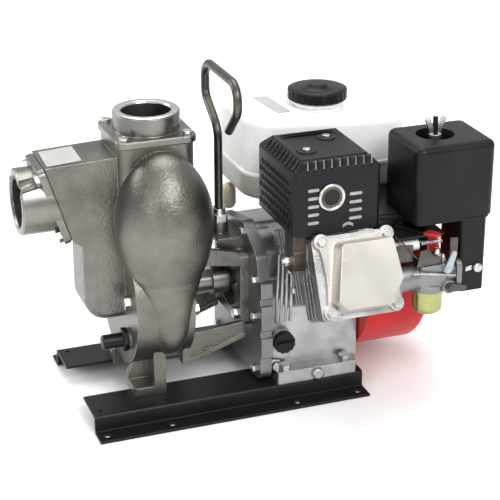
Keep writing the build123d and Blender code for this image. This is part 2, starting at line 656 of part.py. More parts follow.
cheek = [(5, TOP_PLATE_Z + 2), (5, 180), (22, 170), (PTO_FACE_X, 170), (PTO_FACE_X, TOP_PLATE_Z + 2)]

with BuildPart() as bracket:
    with BuildSketch(along_x(CASING_BACK_X, 0, CRANK_Z)):
        Circle(RING_R)
        with Locations((ARM_WEB_Y, -58), (-ARM_WEB_Y, -58)):
            Rectangle(15, 40)
    extrude(amount=RING_THICK)
    with BuildSketch(along_x(ENGINE_PAD_X, 0, CRANK_Z)):
        RectangleRounded(2 * ENGINE_PAD, 2 * ENGINE_PAD, 8)
    extrude(amount=PTO_FACE_X - ENGINE_PAD_X)
    for side in (1, -1):
        for outline, width in ((lower_arm, ARM_WEB), (lower_flange, 15)):
            with BuildSketch(Plane.XZ.offset(side * ARM_WEB_Y - width / 2)):
                with BuildLine():
                    Polyline(*outline, close=True)
                make_face()
            extrude(amount=width)
        with BuildSketch(Plane.XZ.offset(side * 40 - ARM_WEB / 2)):
            with BuildLine():
                Polyline(*upper_arm, close=True)
            make_face()
        extrude(amount=ARM_WEB)
        with BuildSketch(Plane.XZ.offset(side * 24 - ARM_WEB / 2)):
            with BuildLine():
                Polyline(*cheek, close=True)
            make_face()
        extrude(amount=ARM_WEB)
    with BuildSketch(Plane.XY.offset(TOP_PLATE_Z)):
        with Locations(((5 + PTO_FACE_X) / 2, 0)):
            RectangleRounded(PTO_FACE_X - 5, 56, 4)
    extrude(amount=4)
    with BuildSketch(Plane.XY.offset(TOP_PLATE_Z)):
        with Locations((HANDLE_X, 0)):
            Circle(11)
    extrude(amount=HANDLE_BOSS_TOP_Z - TOP_PLATE_Z)
    with BuildSketch(along_x(CASING_BACK_X, 0, CRANK_Z)):
        Circle(BRACKET_BORE_R)
    extrude(amount=RING_THICK, mode=Mode.SUBTRACT)
    with BuildSketch(along_x(ENGINE_PAD_X - 8, 0, CRANK_Z)):
        Circle(ENGINE_PAD_BORE_R)
    extrude(amount=30, mode=Mode.SUBTRACT)
    with BuildSketch(along_x(CASING_BACK_X, 0, CRANK_Z)):
        with PolarLocations(RING_BOLT_R, RING_BOLTS, start_angle=RING_BOLT_START):
            Circle(M8_SHANK_R + 0.3)
    extrude(amount=RING_THICK, mode=Mode.SUBTRACT)
    # spot faces, so that the bolt heads sit flat
    with BuildSketch(along_x(RING_BACK_X, 0, CRANK_Z)):
        with PolarLocations(RING_BOLT_R, RING_BOLTS, start_angle=RING_BOLT_START):
            Circle(8.2)
    extrude(amount=12, mode=Mode.SUBTRACT)
    with BuildSketch(along_x(ENGINE_PAD_X - 9, 0, CRANK_Z)):
        with GridLocations(PTO_PITCH, PTO_PITCH, 2, 2):
            Circle(8.2)
    extrude(amount=9, mode=Mode.SUBTRACT)
    with BuildSketch(along_x(ENGINE_PAD_X, 0, CRANK_Z)):
        with GridLocations(PTO_PITCH, PTO_PITCH, 2, 2):
            Circle(PTO_BOLT_R + 0.3)
    extrude(amount=20, mode=Mode.SUBTRACT)
    with BuildSketch(Plane.XY.offset(HANDLE_BOSS_TOP_Z)):
        with Locations((HANDLE_X, 0)):
            Circle(5.05)
    extrude(amount=-14, mode=Mode.SUBTRACT)
save(bracket, "bracket")

ring_bolt = hex_bolt(M8_SHANK_R, RING_THICK + 12, 13, BOLT_HEAD_M8)
with BuildPart() as bracket_casing_bolts:
    for turn in range(RING_BOLTS):
        angle = radians(RING_BOLT_START + turn * 360 / RING_BOLTS)
        seat = along_x(RING_BACK_X, RING_BOLT_R * cos(angle), CRANK_Z + RING_BOLT_R * sin(angle))
        add(ring_bolt.moved(seat.location))
save(bracket_casing_bolts, "bracket_casing_bolts")

pto_bolt = hex_bolt(PTO_BOLT_R, PTO_FACE_X - ENGINE_PAD_X + 11, 13, BOLT_HEAD_M8)
with BuildPart() as bracket_engine_bolts:
    for y in (-PTO_PITCH / 2, PTO_PITCH / 2):
        for z in (-PTO_PITCH / 2, PTO_PITCH / 2):
            seat = against_x(ENGINE_PAD_X, y, CRANK_Z + z)
            add(pto_bolt.moved(seat.location))
save(bracket_engine_bolts, "bracket_engine_bolts")

# ---------------------------------------------------------------- lifting handle
HANDLE_R = 5.0
handle_path = [
    (0, HANDLE_BOSS_TOP_Z - 13),
    (0, 316),
    (44, 344),
    (44, 385),
    (-68, 385),
    (-68, 354),
    (-38, 324),
]
handle_radii = [26, 20, 20, 20, 18]
with BuildPart() as lifting_handle:
    with BuildLine(along_x(HANDLE_X, 0, 0)):
        FilletPolyline(*handle_path, radius=handle_radii)
    with BuildSketch(Plane.XY.offset(HANDLE_BOSS_TOP_Z - 13)):
        with Locations((HANDLE_X, 0)):
            Circle(HANDLE_R)
    sweep()
save(lifting_handle, "lifting_handle")

with BuildPart() as handle_nut:
    with BuildSketch(Plane.XY.offset(HANDLE_BOSS_TOP_Z)):
        with Locations((HANDLE_X, 0)):
            RegularPolygon(9.5, 6, major_radius=False)
            Circle(HANDLE_R + 0.05, mode=Mode.SUBTRACT)
    extrude(amount=9)
    with BuildSketch(Plane.XY.offset(HANDLE_BOSS_TOP_Z + 9)):
        with Locations((HANDLE_X, 0)):
            Circle(8)
            Circle(HANDLE_R + 0.05, mode=Mode.SUBTRACT)
    extrude(amount=7)
save(handle_nut, "handle_nut")

# ---------------------------------------------------------------- engine block
COVER_BACK_X = 52.0
BLOCK_END_X = 165.0
WALL_X = 150.0
BEARING_R = 26.0
BEARING_WIDTH = 12.0
JOURNAL_R = 12.5
CAM_Y = 24.3
CAM_Z = CRANK_Z - 42.1
CAM_JOURNAL_R = 6.0
M6_R = 3.0
cover_outline = [(-84, 26), (82, 26), (82, 122), (60, 190), (-22, 207), (-70, 180), (-84, 122)]
block_outline = [(-71, 26), (71, 26), (71, 122), (54, 190), (-22, 203), (-60, 180), (-71, 122)]
cavity_outline = [(-62, 44), (62, 44), (62, 118), (46, 178), (-20, 190), (-52, 170), (-62, 118)]
cover_bolt_places = [(-66.5, 36), (66.5, 36), (66.5, 116), (52, 180), (-28, 196), (-66.5, 150), (-66.5, 104)]

with BuildPart() as side_cover:
    with BuildSketch(along_x(PTO_FACE_X, 0, 0)):
        with BuildLine():
            FilletPolyline(*cover_outline, radius=14, close=True)
        make_face()
    extrude(amount=COVER_BACK_X - PTO_FACE_X)
    with BuildSketch(along_x(PTO_FACE_X, 0, CRANK_Z)):
        Circle(JOURNAL_R + 0.6)
    extrude(amount=COVER_BACK_X - PTO_FACE_X, mode=Mode.SUBTRACT)
    with BuildSketch(along_x(COVER_BACK_X - BEARING_WIDTH, 0, CRANK_Z)):
        Circle(BEARING_R + 0.02)
    extrude(amount=BEARING_WIDTH, mode=Mode.SUBTRACT)
    with BuildSketch(along_x(COVER_BACK_X - 8, CAM_Y, CAM_Z)):
        Circle(CAM_JOURNAL_R + RUNNING_FIT)
    extrude(amount=8, mode=Mode.SUBTRACT)
    with BuildSketch(along_x(PTO_FACE_X, 0, CRANK_Z)):
        with GridLocations(PTO_PITCH, PTO_PITCH, 2, 2):
            Circle(PTO_BOLT_R + 0.05)
    extrude(amount=12, mode=Mode.SUBTRACT)
    with BuildSketch(along_x(PTO_FACE_X, 0, 0)):
        with Locations(*cover_bolt_places):
            Circle(M6_R + 0.3)
    extrude(amount=COVER_BACK_X - PTO_FACE_X, mode=Mode.SUBTRACT)
    # the bracket's square pad stands on a clean face
    edge_blocks = [(-82, 70, 26), (-82, 108, 32), (-80, 142, 20)]
    for y, z, height in edge_blocks:
        with BuildSketch(along_x(PTO_FACE_X, 0, 0)):
            with Locations((y, z)):
                RectangleRounded(12, height, 2)
        extrude(amount=COVER_BACK_X - PTO_FACE_X)
save(side_cover, "side_cover")

cover_bolt = hex_bolt(M6_R, COVER_BACK_X - PTO_FACE_X + 14, 10, 5)
with BuildPart() as side_cover_bolts:
    for y, z in cover_bolt_places:
        add(cover_bolt.moved(against_x(PTO_FACE_X, y, z).location))
save(side_cover_bolts, "side_cover_bolts")

ENGINE_FOOT_Y = 92.0
ENGINE_FOOT_X = (57.0, 157.0)
BARREL_HALF_X = 47.0
BARREL_HALF_V = 46.0
FILLER_X = 66.0
FILLER_Z = 75.0
FILLER_FACE_Y = -82.0
FILLER_R = 13.0
FILLER_THREAD_R = 9.0

with BuildPart() as crankcase:
    with BuildSketch(along_x(COVER_BACK_X, 0, 0)):
        with BuildLine():
            FilletPolyline(*block_outline, radius=12, close=True)
        make_face()
    extrude(amount=BLOCK_END_X - COVER_BACK_X)
    with BuildSketch(Plane.XY.offset(RAIL_HEIGHT)):
        with Locations((sum(ENGINE_FOOT_X) / 2, 0)):
            RectangleRounded(ENGINE_FOOT_X[1] - ENGINE_FOOT_X[0], 2 * ENGINE_FOOT_Y, 3)
            Rectangle(ENGINE_FOOT_X[1] - ENGINE_FOOT_X[0] - 20, 78, mode=Mode.SUBTRACT)
    extrude(amount=ENGINE_FOOT_TOP - RAIL_HEIGHT)
    # boss for the oil filler, and the boss for the oil drain
    with BuildSketch(Plane.XZ.offset(-FILLER_FACE_Y)):
        with Locations((FILLER_X, FILLER_Z)):
            Circle(FILLER_R + 1)
    extrude(amount=-16)
    with BuildSketch(cylinder_plane(56)):
        RectangleRounded(2 * BARREL_HALF_X, 2 * BARREL_HALF_V, 6)
    extrude(amount=DECK - 56)
    # cooling fins round the barrel
    for step in range(6):
        with BuildSketch(cylinder_plane(78 + 9 * step)):
            RectangleRounded(2 * BARREL_HALF_X + 2, 2 * BARREL_HALF_V + 2, 6)
            RectangleRounded(2 * BORE_R + 14, 2 * BORE_R + 14, 20, mode=Mode.SUBTRACT)
        extrude(amount=5, mode=Mode.SUBTRACT)
    with BuildSketch(along_x(COVER_BACK_X, 0, 0)):
        with BuildLine():
            FilletPolyline(*cavity_outline, radius=10, close=True)
        make_face()
    extrude(amount=WALL_X - COVER_BACK_X, mode=Mode.SUBTRACT)
    with BuildSketch(cylinder_plane(30)):
        Circle(BORE_R)
    extrude(amount=DECK - 30, mode=Mode.SUBTRACT)
    with BuildSketch(along_x(WALL_X, 0, CRANK_Z)):
        Circle(BEARING_R + 0.02)
    extrude(amount=BEARING_WIDTH, mode=Mode.SUBTRACT)
    with BuildSketch(along_x(WALL_X, 0, CRANK_Z)):
        Circle(JOURNAL_R + 0.6)
    extrude(amount=20, mode=Mode.SUBTRACT)
    with BuildSketch(along_x(WALL_X, CAM_Y, CAM_Z)):
        Circle(CAM_JOURNAL_R + RUNNING_FIT)
    extrude(amount=8, mode=Mode.SUBTRACT)
    with BuildSketch(along_x(COVER_BACK_X, 0, 0)):
        with Locations(*cover_bolt_places):
            Circle(M6_R + 0.05)
    extrude(amount=15, mode=Mode.SUBTRACT)
    with BuildSketch(Plane.XZ.offset(-FILLER_FACE_Y)):
        with Locations((FILLER_X, FILLER_Z)):
            Circle(FILLER_THREAD_R + 0.1)
    extrude(amount=-24, mode=Mode.SUBTRACT)
    with BuildSketch(Plane.XY.offset(RAIL_HEIGHT)):
        with Locations(*[(x, y) for x in ENGINE_BOLT_X for y in (-ENGINE_BOLT_Y, ENGINE_BOLT_Y)]):
            Circle(M8_CLEAR_R)
    extrude(amount=20, mode=Mode.SUBTRACT)
save(crankcase, "crankcase")

with BuildPart() as crank_bearings:
    for x in (COVER_BACK_X - BEARING_WIDTH, WALL_X):
        with BuildSketch(along_x(x + 0.2, 0, CRANK_Z)):
            Circle(BEARING_R)
            Circle(JOURNAL_R + RUNNING_FIT, mode=Mode.SUBTRACT)
        extrude(amount=BEARING_WIDTH - 0.4)
save(crank_bearings, "crank_bearings")

CRANK_THROW = STROKE / 2
WEB_R = 40.0
WEBS_X = (98.0, 128.0)
WEB_THICK = 10.0
PIN_R = 12.5
GEAR_X = 57.0
GEAR_WIDTH = 10.0
MODULE = 1.35
CRANK_TEETH = 24
CAM_TEETH = 48
SHAFT_TAIL_X = 205.0
FLYWHEEL_X = 171.0


def gear_outline(teeth, phase):
    """Corner points of a slack-fitting spur gear: root, tip, tip, root for each tooth."""
    pitch_r = MODULE * teeth / 2
    root_r = pitch_r - 1.25 * MODULE
    tip_r = pitch_r + 0.75 * MODULE
    step = 360 / teeth
    points = []
    for tooth in range(teeth):
        middle = phase + tooth * step
        for r, share in ((root_r, -0.3), (tip_r, -0.11), (tip_r, 0.11), (root_r, 0.3)):
            angle = radians(middle + share * step)
            points.append((r * cos(angle), r * sin(angle)))
    return points


with BuildPart() as crankshaft:
    # output shaft, main journals and tail
    for start, end, r in (
        (ENGINE_SHAFT_TIP_X, PTO_FACE_X, ENGINE_SHAFT_R),
        (PTO_FACE_X, WEBS_X[0], JOURNAL_R),
        (WEBS_X[1] + WEB_THICK, 171.0, JOURNAL_R),
        (171.0, SHAFT_TAIL_X, 9.0),
    ):
        with BuildSketch(along_x(start, 0, CRANK_Z)):
            Circle(r)
        extrude(amount=end - start)
    for x in WEBS_X:
        with BuildSketch(along_x(x, 0, CRANK_Z)):
            Circle(WEB_R)
        extrude(amount=WEB_THICK)
    pin_y = -CRANK_THROW * cos(TILT)
    pin_z = CRANK_Z + CRANK_THROW * sin(TILT)
    with BuildSketch(along_x(WEBS_X[0] + WEB_THICK, pin_y, pin_z)):
        Circle(PIN_R)
    extrude(amount=WEBS_X[1] - WEBS_X[0] - WEB_THICK)
    with BuildSketch(along_x(GEAR_X, 0, CRANK_Z)):
        with BuildLine():
            Polyline(*gear_outline(CRANK_TEETH, 0), close=True)
        make_face()
    extrude(amount=GEAR_WIDTH)
save(crankshaft, "crankshaft")

cam_phase = 180 / CAM_TEETH
with BuildPart() as camshaft:
    with BuildSketch(along_x(COVER_BACK_X - 7, CAM_Y, CAM_Z)):
        Circle(CAM_JOURNAL_R)
    extrude(amount=WALL_X + 7 - COVER_BACK_X + 7)
    with BuildSketch(along_x(GEAR_X, CAM_Y, CAM_Z)):
        with BuildLine():
            Polyline(*gear_outline(CAM_TEETH, cam_phase), close=True)
        make_face()
    extrude(amount=GEAR_WIDTH)
    for x, turn in ((74.0, 0), (85.0, 105)):
        peak = radians(turn)
        with BuildSketch(along_x(x, CAM_Y, CAM_Z)):
            Circle(11)
            with Locations((6 * cos(peak), 6 * sin(peak))):
                Circle(8)
            make_hull()
        extrude(amount=8)
save(camshaft, "camshaft")

PISTON_FIT = 0.05
CROWN = DECK - 0.5
WRIST_PIN_R = 9.0
with BuildPart() as piston:
    with BuildSketch(cylinder_plane(CROWN - 38)):
        Circle(BORE_R - PISTON_FIT)
    extrude(amount=38)
    with BuildSketch(cylinder_plane(CROWN - 38)):
        Circle(BORE_R - 4)
    extrude(amount=30, mode=Mode.SUBTRACT)
    for depth in (5, 9.5, 14):
        with BuildSketch(cylinder_plane(CROWN - depth)):
            Circle(BORE_R + 1)
            Circle(BORE_R - 2.5, mode=Mode.SUBTRACT)
        extrude(amount=1.6, mode=Mode.SUBTRACT)
    with BuildSketch(along_x(CYLINDER_X - BORE_R, *tuple(cylinder_plane(CROWN - 24).origin)[1:])):
        Circle(WRIST_PIN_R + 0.02)
    extrude(amount=2 * BORE_R, mode=Mode.SUBTRACT)
save(piston, "piston")

with BuildPart() as wrist_pin:
    with BuildSketch(along_x(CYLINDER_X - 30, *tuple(cylinder_plane(CROWN - 24).origin)[1:])):
        Circle(WRIST_PIN_R)
        Circle(5, mode=Mode.SUBTRACT)
    extrude(amount=60)
save(wrist_pin, "wrist_pin")

HEAD_X = (70.0, 166.0)
HEAD_V = (-65.0, 28.0)
head_across = sum(HEAD_X) / 2 - CYLINDER_X
head_up = sum(HEAD_V) / 2
PLUG_D = 158.0
PLUG_V = 5.0
plug_seat = cylinder_plane(PLUG_D, HEAD_X[1] - CYLINDER_X, PLUG_V).origin
CARB_Y = -140.0
CARB_Z = 160.0
CARB_BORE_R = 10.0
COVER_HOLES = 39.0
with BuildPart() as cylinder_head:
    with BuildSketch(cylinder_plane(DECK, head_across, head_up)):
        RectangleRounded(HEAD_X[1] - HEAD_X[0], HEAD_V[1] - HEAD_V[0], 7)
    extrude(amount=HEAD_TOP - DECK)
    for step in range(3):
        with BuildSketch(cylinder_plane(DECK + 7 + 10 * step, head_across, head_up)):
            Rectangle(100, 100)
            Rectangle(78, 80, mode=Mode.SUBTRACT)
        extrude(amount=5, mode=Mode.SUBTRACT)
    # flat pads for the carburettor on one side and for the exhaust on the other
    with BuildSketch(along_x(HEAD_X[1] - 12, CARB_Y + 4, CARB_Z + 8)):
        RectangleRounded(40, 40, 6)
    extrude(amount=12)
    with BuildSketch(along_x(HEAD_X[0], -126, 200)):
        RectangleRounded(36, 40, 6)
    extrude(amount=14)
    with BuildSketch(cylinder_plane(DECK)):
        Rectangle(200, 200)
    extrude(amount=-60, mode=Mode.SUBTRACT)
    with BuildSketch(cylinder_plane(DECK)):
        Circle(BORE_R - 3)
    extrude(amount=7, mode=Mode.SUBTRACT)
    with BuildSketch(cylinder_plane(HEAD_TOP, 0.8, COVER_OFFSET)):
        with GridLocations(2 * COVER_HOLES, 2 * COVER_HOLES, 2, 2):
            Circle(M6_R + 0.05)
    extrude(amount=-12, mode=Mode.SUBTRACT)
    with BuildSketch(along_x(*plug_seat)):
        Circle(7.05)
    extrude(amount=-16, mode=Mode.SUBTRACT)
save(cylinder_head, "cylinder_head")

dome_outline = [(-38, -46), (-26, -59), (28, -59), (49, -30), (43, 20), (-24, 20)]
COVER_FLANGE = 86.0
COVER_WAIST = 4.0
COVER_WAIST_R = 160.0
with BuildPart() as valve_cover:
    with BuildSketch(cylinder_plane(HEAD_TOP, 0.8, COVER_OFFSET)):
        Rectangle(COVER_FLANGE, COVER_FLANGE)
        with PolarLocations(COVER_FLANGE / 2 - COVER_WAIST + COVER_WAIST_R, 4):
            Circle(COVER_WAIST_R, mode=Mode.SUBTRACT)
        with GridLocations(2 * COVER_HOLES, 2 * COVER_HOLES, 2, 2):
            Circle(8.5)
    extrude(amount=5)
    with BuildSketch(cylinder_plane(HEAD_TOP + 5)):
        with BuildLine():
            FilletPolyline(*dome_outline, radius=7, close=True)
        make_face()
    extrude(amount=17, taper=13)
    with BuildSketch(cylinder_plane(HEAD_TOP)):
        with BuildLine():
            FilletPolyline(*dome_outline, radius=7, close=True)
        make_face()
        offset(amount=-4.5, mode=Mode.REPLACE)
    extrude(amount=17, taper=12, mode=Mode.SUBTRACT)
    with BuildSketch(cylinder_plane(HEAD_TOP, 0.8, COVER_OFFSET)):
        with GridLocations(2 * COVER_HOLES, 2 * COVER_HOLES, 2, 2):
            Circle(M6_R + 0.3)
    extrude(amount=40, mode=Mode.SUBTRACT)
    with BuildSketch(cylinder_plane(HEAD_TOP + 5, 0.8, COVER_OFFSET)):
        with GridLocations(2 * COVER_HOLES, 2 * COVER_HOLES, 2, 2):
            Circle(7)
    extrude(amount=40, mode=Mode.SUBTRACT)
save(valve_cover, "valve_cover")

valve_cover_bolt = hex_bolt(M6_R, 5 + 11, 10, 4.5)
with BuildPart() as valve_cover_bolts:
    for x in (-COVER_HOLES, COVER_HOLES):
        for v in (-COVER_HOLES, COVER_HOLES):
            seat = cylinder_plane(HEAD_TOP + 5, 0.8 + x, COVER_OFFSET + v)
            add(valve_cover_bolt.moved(seat.location))
save(valve_cover_bolts, "valve_cover_bolts")

with BuildPart() as spark_plug:
    for start, end, r in ((-15, 0, 7.0), (9, 40, 6.5)):
        with BuildSketch(along_x(plug_seat.X + start, plug_seat.Y, plug_seat.Z)):
            Circle(r)
        extrude(amount=end - start)
    with BuildSketch(along_x(plug_seat.X, plug_seat.Y, plug_seat.Z)):
        RegularPolygon(8, 6, major_radius=False)
    extrude(amount=10)
save(spark_plug, "spark_plug")

# ---------------------------------------------------------------- exhaust
GUARD_X = (52.0, 155.0)
GUARD_Y = (-150.0, -36.0)
GUARD_Z = (232.0, 317.0)
GUARD_BEVEL = 13.0
GUARD_SHEET = 2.0
OUTLET_X = 95.4
OUTLET_Z = 275.0
OUTLET_R = 13.5
EXHAUST_Y = -126.0
EXHAUST_X = (56.0, HEAD_X[0])


def guard_block(inset, drop):
    """The guard's shape shrunk by a wall and let down below its rim: a box with bevelled edges."""
    x0, x1 = GUARD_X[0] + inset, GUARD_X[1] - inset
    y0, y1 = GUARD_Y[0] + inset, GUARD_Y[1] - inset
    with BuildPart(mode=Mode.PRIVATE) as block:
        with BuildSketch(Plane.XY.offset(GUARD_Z[0] - drop)):
            with Locations(((x0 + x1) / 2, (y0 + y1) / 2)):
                Rectangle(x1 - x0, y1 - y0)
        extrude(amount=GUARD_Z[1] - inset - GUARD_Z[0] + drop)
        chamfer(block.faces().sort_by(Axis.Z)[-1].edges(), GUARD_BEVEL - inset * 0.4)
        chamfer(block.edges().filter_by(Axis.Z), 5 - inset * 0.4)
    return block.part


with BuildPart() as muffler_guard:
    add(guard_block(0, 0))
    add(guard_block(GUARD_SHEET, 1), mode=Mode.SUBTRACT)
    with BuildSketch(Plane.XZ.offset(-GUARD_Y[0] + 1)):
        with Locations((OUTLET_X, OUTLET_Z)):
            Circle(OUTLET_R + 1.5)
        for column, count in ((OUTLET_X - 21, 5), (OUTLET_X + 28, 4)):
            for row in range(count):
                with Locations((column, 247 + 9.5 * row)):
                    SlotOverall(14, 3.6)
    extrude(amount=-5, mode=Mode.SUBTRACT)
    # heads of the guard's screws sit in shallow cups in the top
    with BuildSketch(Plane.XY.offset(GUARD_Z[1] - GUARD_SHEET - 1)):
        with Locations((81, -112), (119, -76)):
            Circle(2.4)
    extrude(amount=10, mode=Mode.SUBTRACT)
save(muffler_guard, "muffler_guard")

MUFFLER_X = (60.0, 146.0)
MUFFLER_Y = (-138.0, -44.0)
MUFFLER_Z = (242.0, 303.0)
with BuildPart() as muffler:
    with BuildSketch(Plane.XY.offset(MUFFLER_Z[0])):
        with Locations((sum(MUFFLER_X) / 2, sum(MUFFLER_Y) / 2)):
            RectangleRounded(MUFFLER_X[1] - MUFFLER_X[0], MUFFLER_Y[1] - MUFFLER_Y[0], 14)
    extrude(amount=MUFFLER_Z[1] - MUFFLER_Z[0])
    fillet(muffler.faces().sort_by(Axis.Z)[-1].edges(), 7)
    with BuildSketch(Plane.XZ.offset(-GUARD_Y[0] + 2)):
        with Locations((OUTLET_X, OUTLET_Z)):
            Circle(OUTLET_R)
    extrude(amount=-20)
    # the pipe from the exhaust port up to the muffler
    with BuildSketch(along_x(EXHAUST_X[0], EXHAUST_Y, 0)):
        with Locations((0, 200)):
            RectangleRounded(30, 34, 14)
        with Locations((0, 225)):
            Rectangle(26, 40)
    extrude(amount=EXHAUST_X[1] - EXHAUST_X[0])
    with BuildSketch(Plane.XZ.offset(-GUARD_Y[0] + 3)):
        with Locations((OUTLET_X, OUTLET_Z)):
            Circle(9.3)
    extrude(amount=-60, mode=Mode.SUBTRACT)
    with BuildSketch(Plane.XY.offset(MUFFLER_Z[1])):
        with Locations((81, -112), (119, -76)):
            Circle(2.05)
    extrude(amount=-10, mode=Mode.SUBTRACT)
save(muffler, "muffler")

guard_screw = hex_bolt(2.0, 20, 8, 3.5)
with BuildPart() as guard_screws:
    for x, y in ((81, -112), (119, -76)):
        add(guard_screw.moved(Location((x, y, GUARD_Z[1]))))
save(guard_screws, "guard_screws")

with BuildPart() as exhaust_nut:
    add(hex_nut(3.0, 10, 6).moved(against_x(EXHAUST_X[0], EXHAUST_Y, 196).location))
    with BuildSketch(against_x(EXHAUST_X[0], EXHAUST_Y, 196)):
        Circle(3.0)
    extrude(amount=9)
save(exhaust_nut, "exhaust_nut")

# ---------------------------------------------------------------- carburettor and air cleaner
ELBOW_X = 255.0
CARB_BODY_X = 222.0
BOWL_TOP_Z = 143.0
BOWL_R = 17.5
with BuildPart() as carburettor:
    for x, thick in ((HEAD_X[1], 14.0), (ELBOW_X - 6, 6.0)):
        with BuildSketch(along_x(x, CARB_Y, CARB_Z)):
            RectangleRounded(40, 40, 9)
        extrude(amount=thick)
    with BuildSketch(along_x(HEAD_X[1], CARB_Y, CARB_Z)):
        Circle(16)
    extrude(amount=ELBOW_X - HEAD_X[1])
    with BuildSketch(Plane.XY.offset(BOWL_TOP_Z)):
        with Locations((CARB_BODY_X, CARB_Y)):
            Circle(BOWL_R + 2)
    extrude(amount=8)
    with BuildSketch(Plane.XY.offset(BOWL_TOP_Z + 6)):
        with Locations((CARB_BODY_X, CARB_Y)):
            RectangleRounded(36, 34, 4)
    extrude(amount=28)
    # boss for the fuel valve and boss for the choke shaft
    with BuildSketch(Plane.XZ.offset(-CARB_Y + 14)):
        with Locations((CARB_BODY_X + 18, BOWL_TOP_Z + 6)):
            Circle(8)
        with Locations((CARB_BODY_X + 14, 172)):
            Circle(5)
    extrude(amount=6)
    with BuildSketch(along_x(HEAD_X[1], CARB_Y, CARB_Z)):
        Circle(CARB_BORE_R)
    extrude(amount=ELBOW_X - HEAD_X[1], mode=Mode.SUBTRACT)
save(carburettor, "carburettor")

with BuildPart() as float_bowl:
    with BuildSketch(Plane.XY.offset(BOWL_TOP_Z)):
        with Locations((CARB_BODY_X, CARB_Y)):
            Circle(BOWL_R)
    extrude(amount=-28)
    fillet(float_bowl.faces().sort_by(Axis.Z)[0].edges(), 6)
    with BuildSketch(Plane.XY.offset(BOWL_TOP_Z - 4)):
        with Locations((CARB_BODY_X, CARB_Y)):
            Circle(BOWL_R + 1.5)
    extrude(amount=4)
    with BuildSketch(Plane.XY.offset(BOWL_TOP_Z)):
        with Locations((CARB_BODY_X, CARB_Y)):
            Circle(BOWL_R - 2)
    extrude(amount=-22, mode=Mode.SUBTRACT)
    with BuildSketch(Plane.XY.offset(BOWL_TOP_Z - 28)):
        with Locations((CARB_BODY_X, CARB_Y)):
            RegularPolygon(5, 6, major_radius=False)
    extrude(amount=-4)
save(float_bowl, "float_bowl")

LEVER_THICK = 2.5
FUEL_VALVE = (CARB_BODY_X + 18, BOWL_TOP_Z + 6)
CHOKE = (CARB_BODY_X + 14, 172.0)
LEVER_Y = CARB_Y - 20.3


def pointer_lever(pivot, reach, angle, width):
    """A flat lever on the near side of the carburettor, turning about an axis along Y."""
    tip = (pivot[0] + reach * cos(radians(angle)), pivot[1] + reach * sin(radians(angle)))
    with BuildPart(mode=Mode.PRIVATE) as lever:
        with BuildSketch(Plane.XZ.offset(-LEVER_Y)):
            with Locations(pivot):
                Circle(width * 0.75)
            with Locations(tip):
                Circle(width / 2)
            make_hull()
        extrude(amount=LEVER_THICK)
        with BuildSketch(Plane.XZ.offset(-LEVER_Y + LEVER_THICK)):
            with Locations(pivot):
                Circle(width / 2)
        extrude(amount=1.5)
    return lever.part


with BuildPart() as fuel_valve_lever:
    add(pointer_lever(FUEL_VALVE, 17, -8, 7))
save(fuel_valve_lever, "fuel_valve_lever")

with BuildPart() as choke_lever:
    add(pointer_lever(CHOKE, 20, 70, 6))
save(choke_lever, "choke_lever")

CONTROL_Z = 211.0
CONTROL_SHEET = 2.5
THROTTLE_PIVOT = (196.0, -118.0)
with BuildPart() as control_base:
    with BuildSketch(Plane.XY.offset(CONTROL_Z)):
        with Locations(((HEAD_X[1] + 236) / 2, -126)):
            RectangleRounded(236 - HEAD_X[1], 48, 3)
    extrude(amount=CONTROL_SHEET)
    with BuildSketch(along_x(HEAD_X[1], -118, CONTROL_Z - 10)):
        Rectangle(20, 24)
    extrude(amount=CONTROL_SHEET)
    with BuildSketch(Plane.XY.offset(CONTROL_Z)):
        with Locations(THROTTLE_PIVOT):
            Circle(3)
    extrude(amount=CONTROL_SHEET + 6)
save(control_base, "control_base")

throttle_tip = (222.0, -158.0)
with BuildPart() as throttle_lever:
    with BuildSketch(Plane.XY.offset(CONTROL_Z + CONTROL_SHEET + 0.3)):
        with Locations(THROTTLE_PIVOT):
            Circle(8)
        with Locations(throttle_tip):
            Circle(4.5)
        make_hull()
        with Locations(THROTTLE_PIVOT):
            Circle(3.05, mode=Mode.SUBTRACT)
    extrude(amount=LEVER_THICK)
save(throttle_lever, "throttle_lever")

CLEANER_X = (196.0, 294.0)
CLEANER_Y = (-155.0, -69.0)
CLEANER_Z = (230.0, 318.0)
CLEANER_WALL = 2.5
STUD = (238.0, -110.0)
STUD_R = 3.0
ELBOW = (271.0, -127.0)
cleaner_centre = (sum(CLEANER_X) / 2, sum(CLEANER_Y) / 2)
cleaner_size = (CLEANER_X[1] - CLEANER_X[0], CLEANER_Y[1] - CLEANER_Y[0])
with BuildPart() as air_cleaner_cover:
    with BuildSketch(Plane.XY.offset(CLEANER_Z[0])):
        with Locations(cleaner_centre):
            RectangleRounded(*cleaner_size, 10)
    extrude(amount=CLEANER_Z[1] - CLEANER_Z[0])
    fillet(air_cleaner_cover.faces().sort_by(Axis.Z)[-1].edges(), 8)
    with BuildSketch(Plane.XY.offset(CLEANER_Z[0])):
        with Locations(cleaner_centre):
            RectangleRounded(cleaner_size[0] - 2 * CLEANER_WALL, cleaner_size[1] - 2 * CLEANER_WALL, 8)
    extrude(amount=CLEANER_Z[1] - CLEANER_Z[0] - 18, mode=Mode.SUBTRACT)
    # the round recess for the wing nut
    with BuildSketch(Plane.XY.offset(CLEANER_Z[1])):
        with Locations(STUD):
            Circle(22)
    extrude(amount=-14, mode=Mode.SUBTRACT)
    with BuildSketch(Plane.XY.offset(CLEANER_Z[1])):
        with Locations(STUD):
            Circle(STUD_R + 0.3)
    extrude(amount=-20, mode=Mode.SUBTRACT)
save(air_cleaner_cover, "air_cleaner_cover")

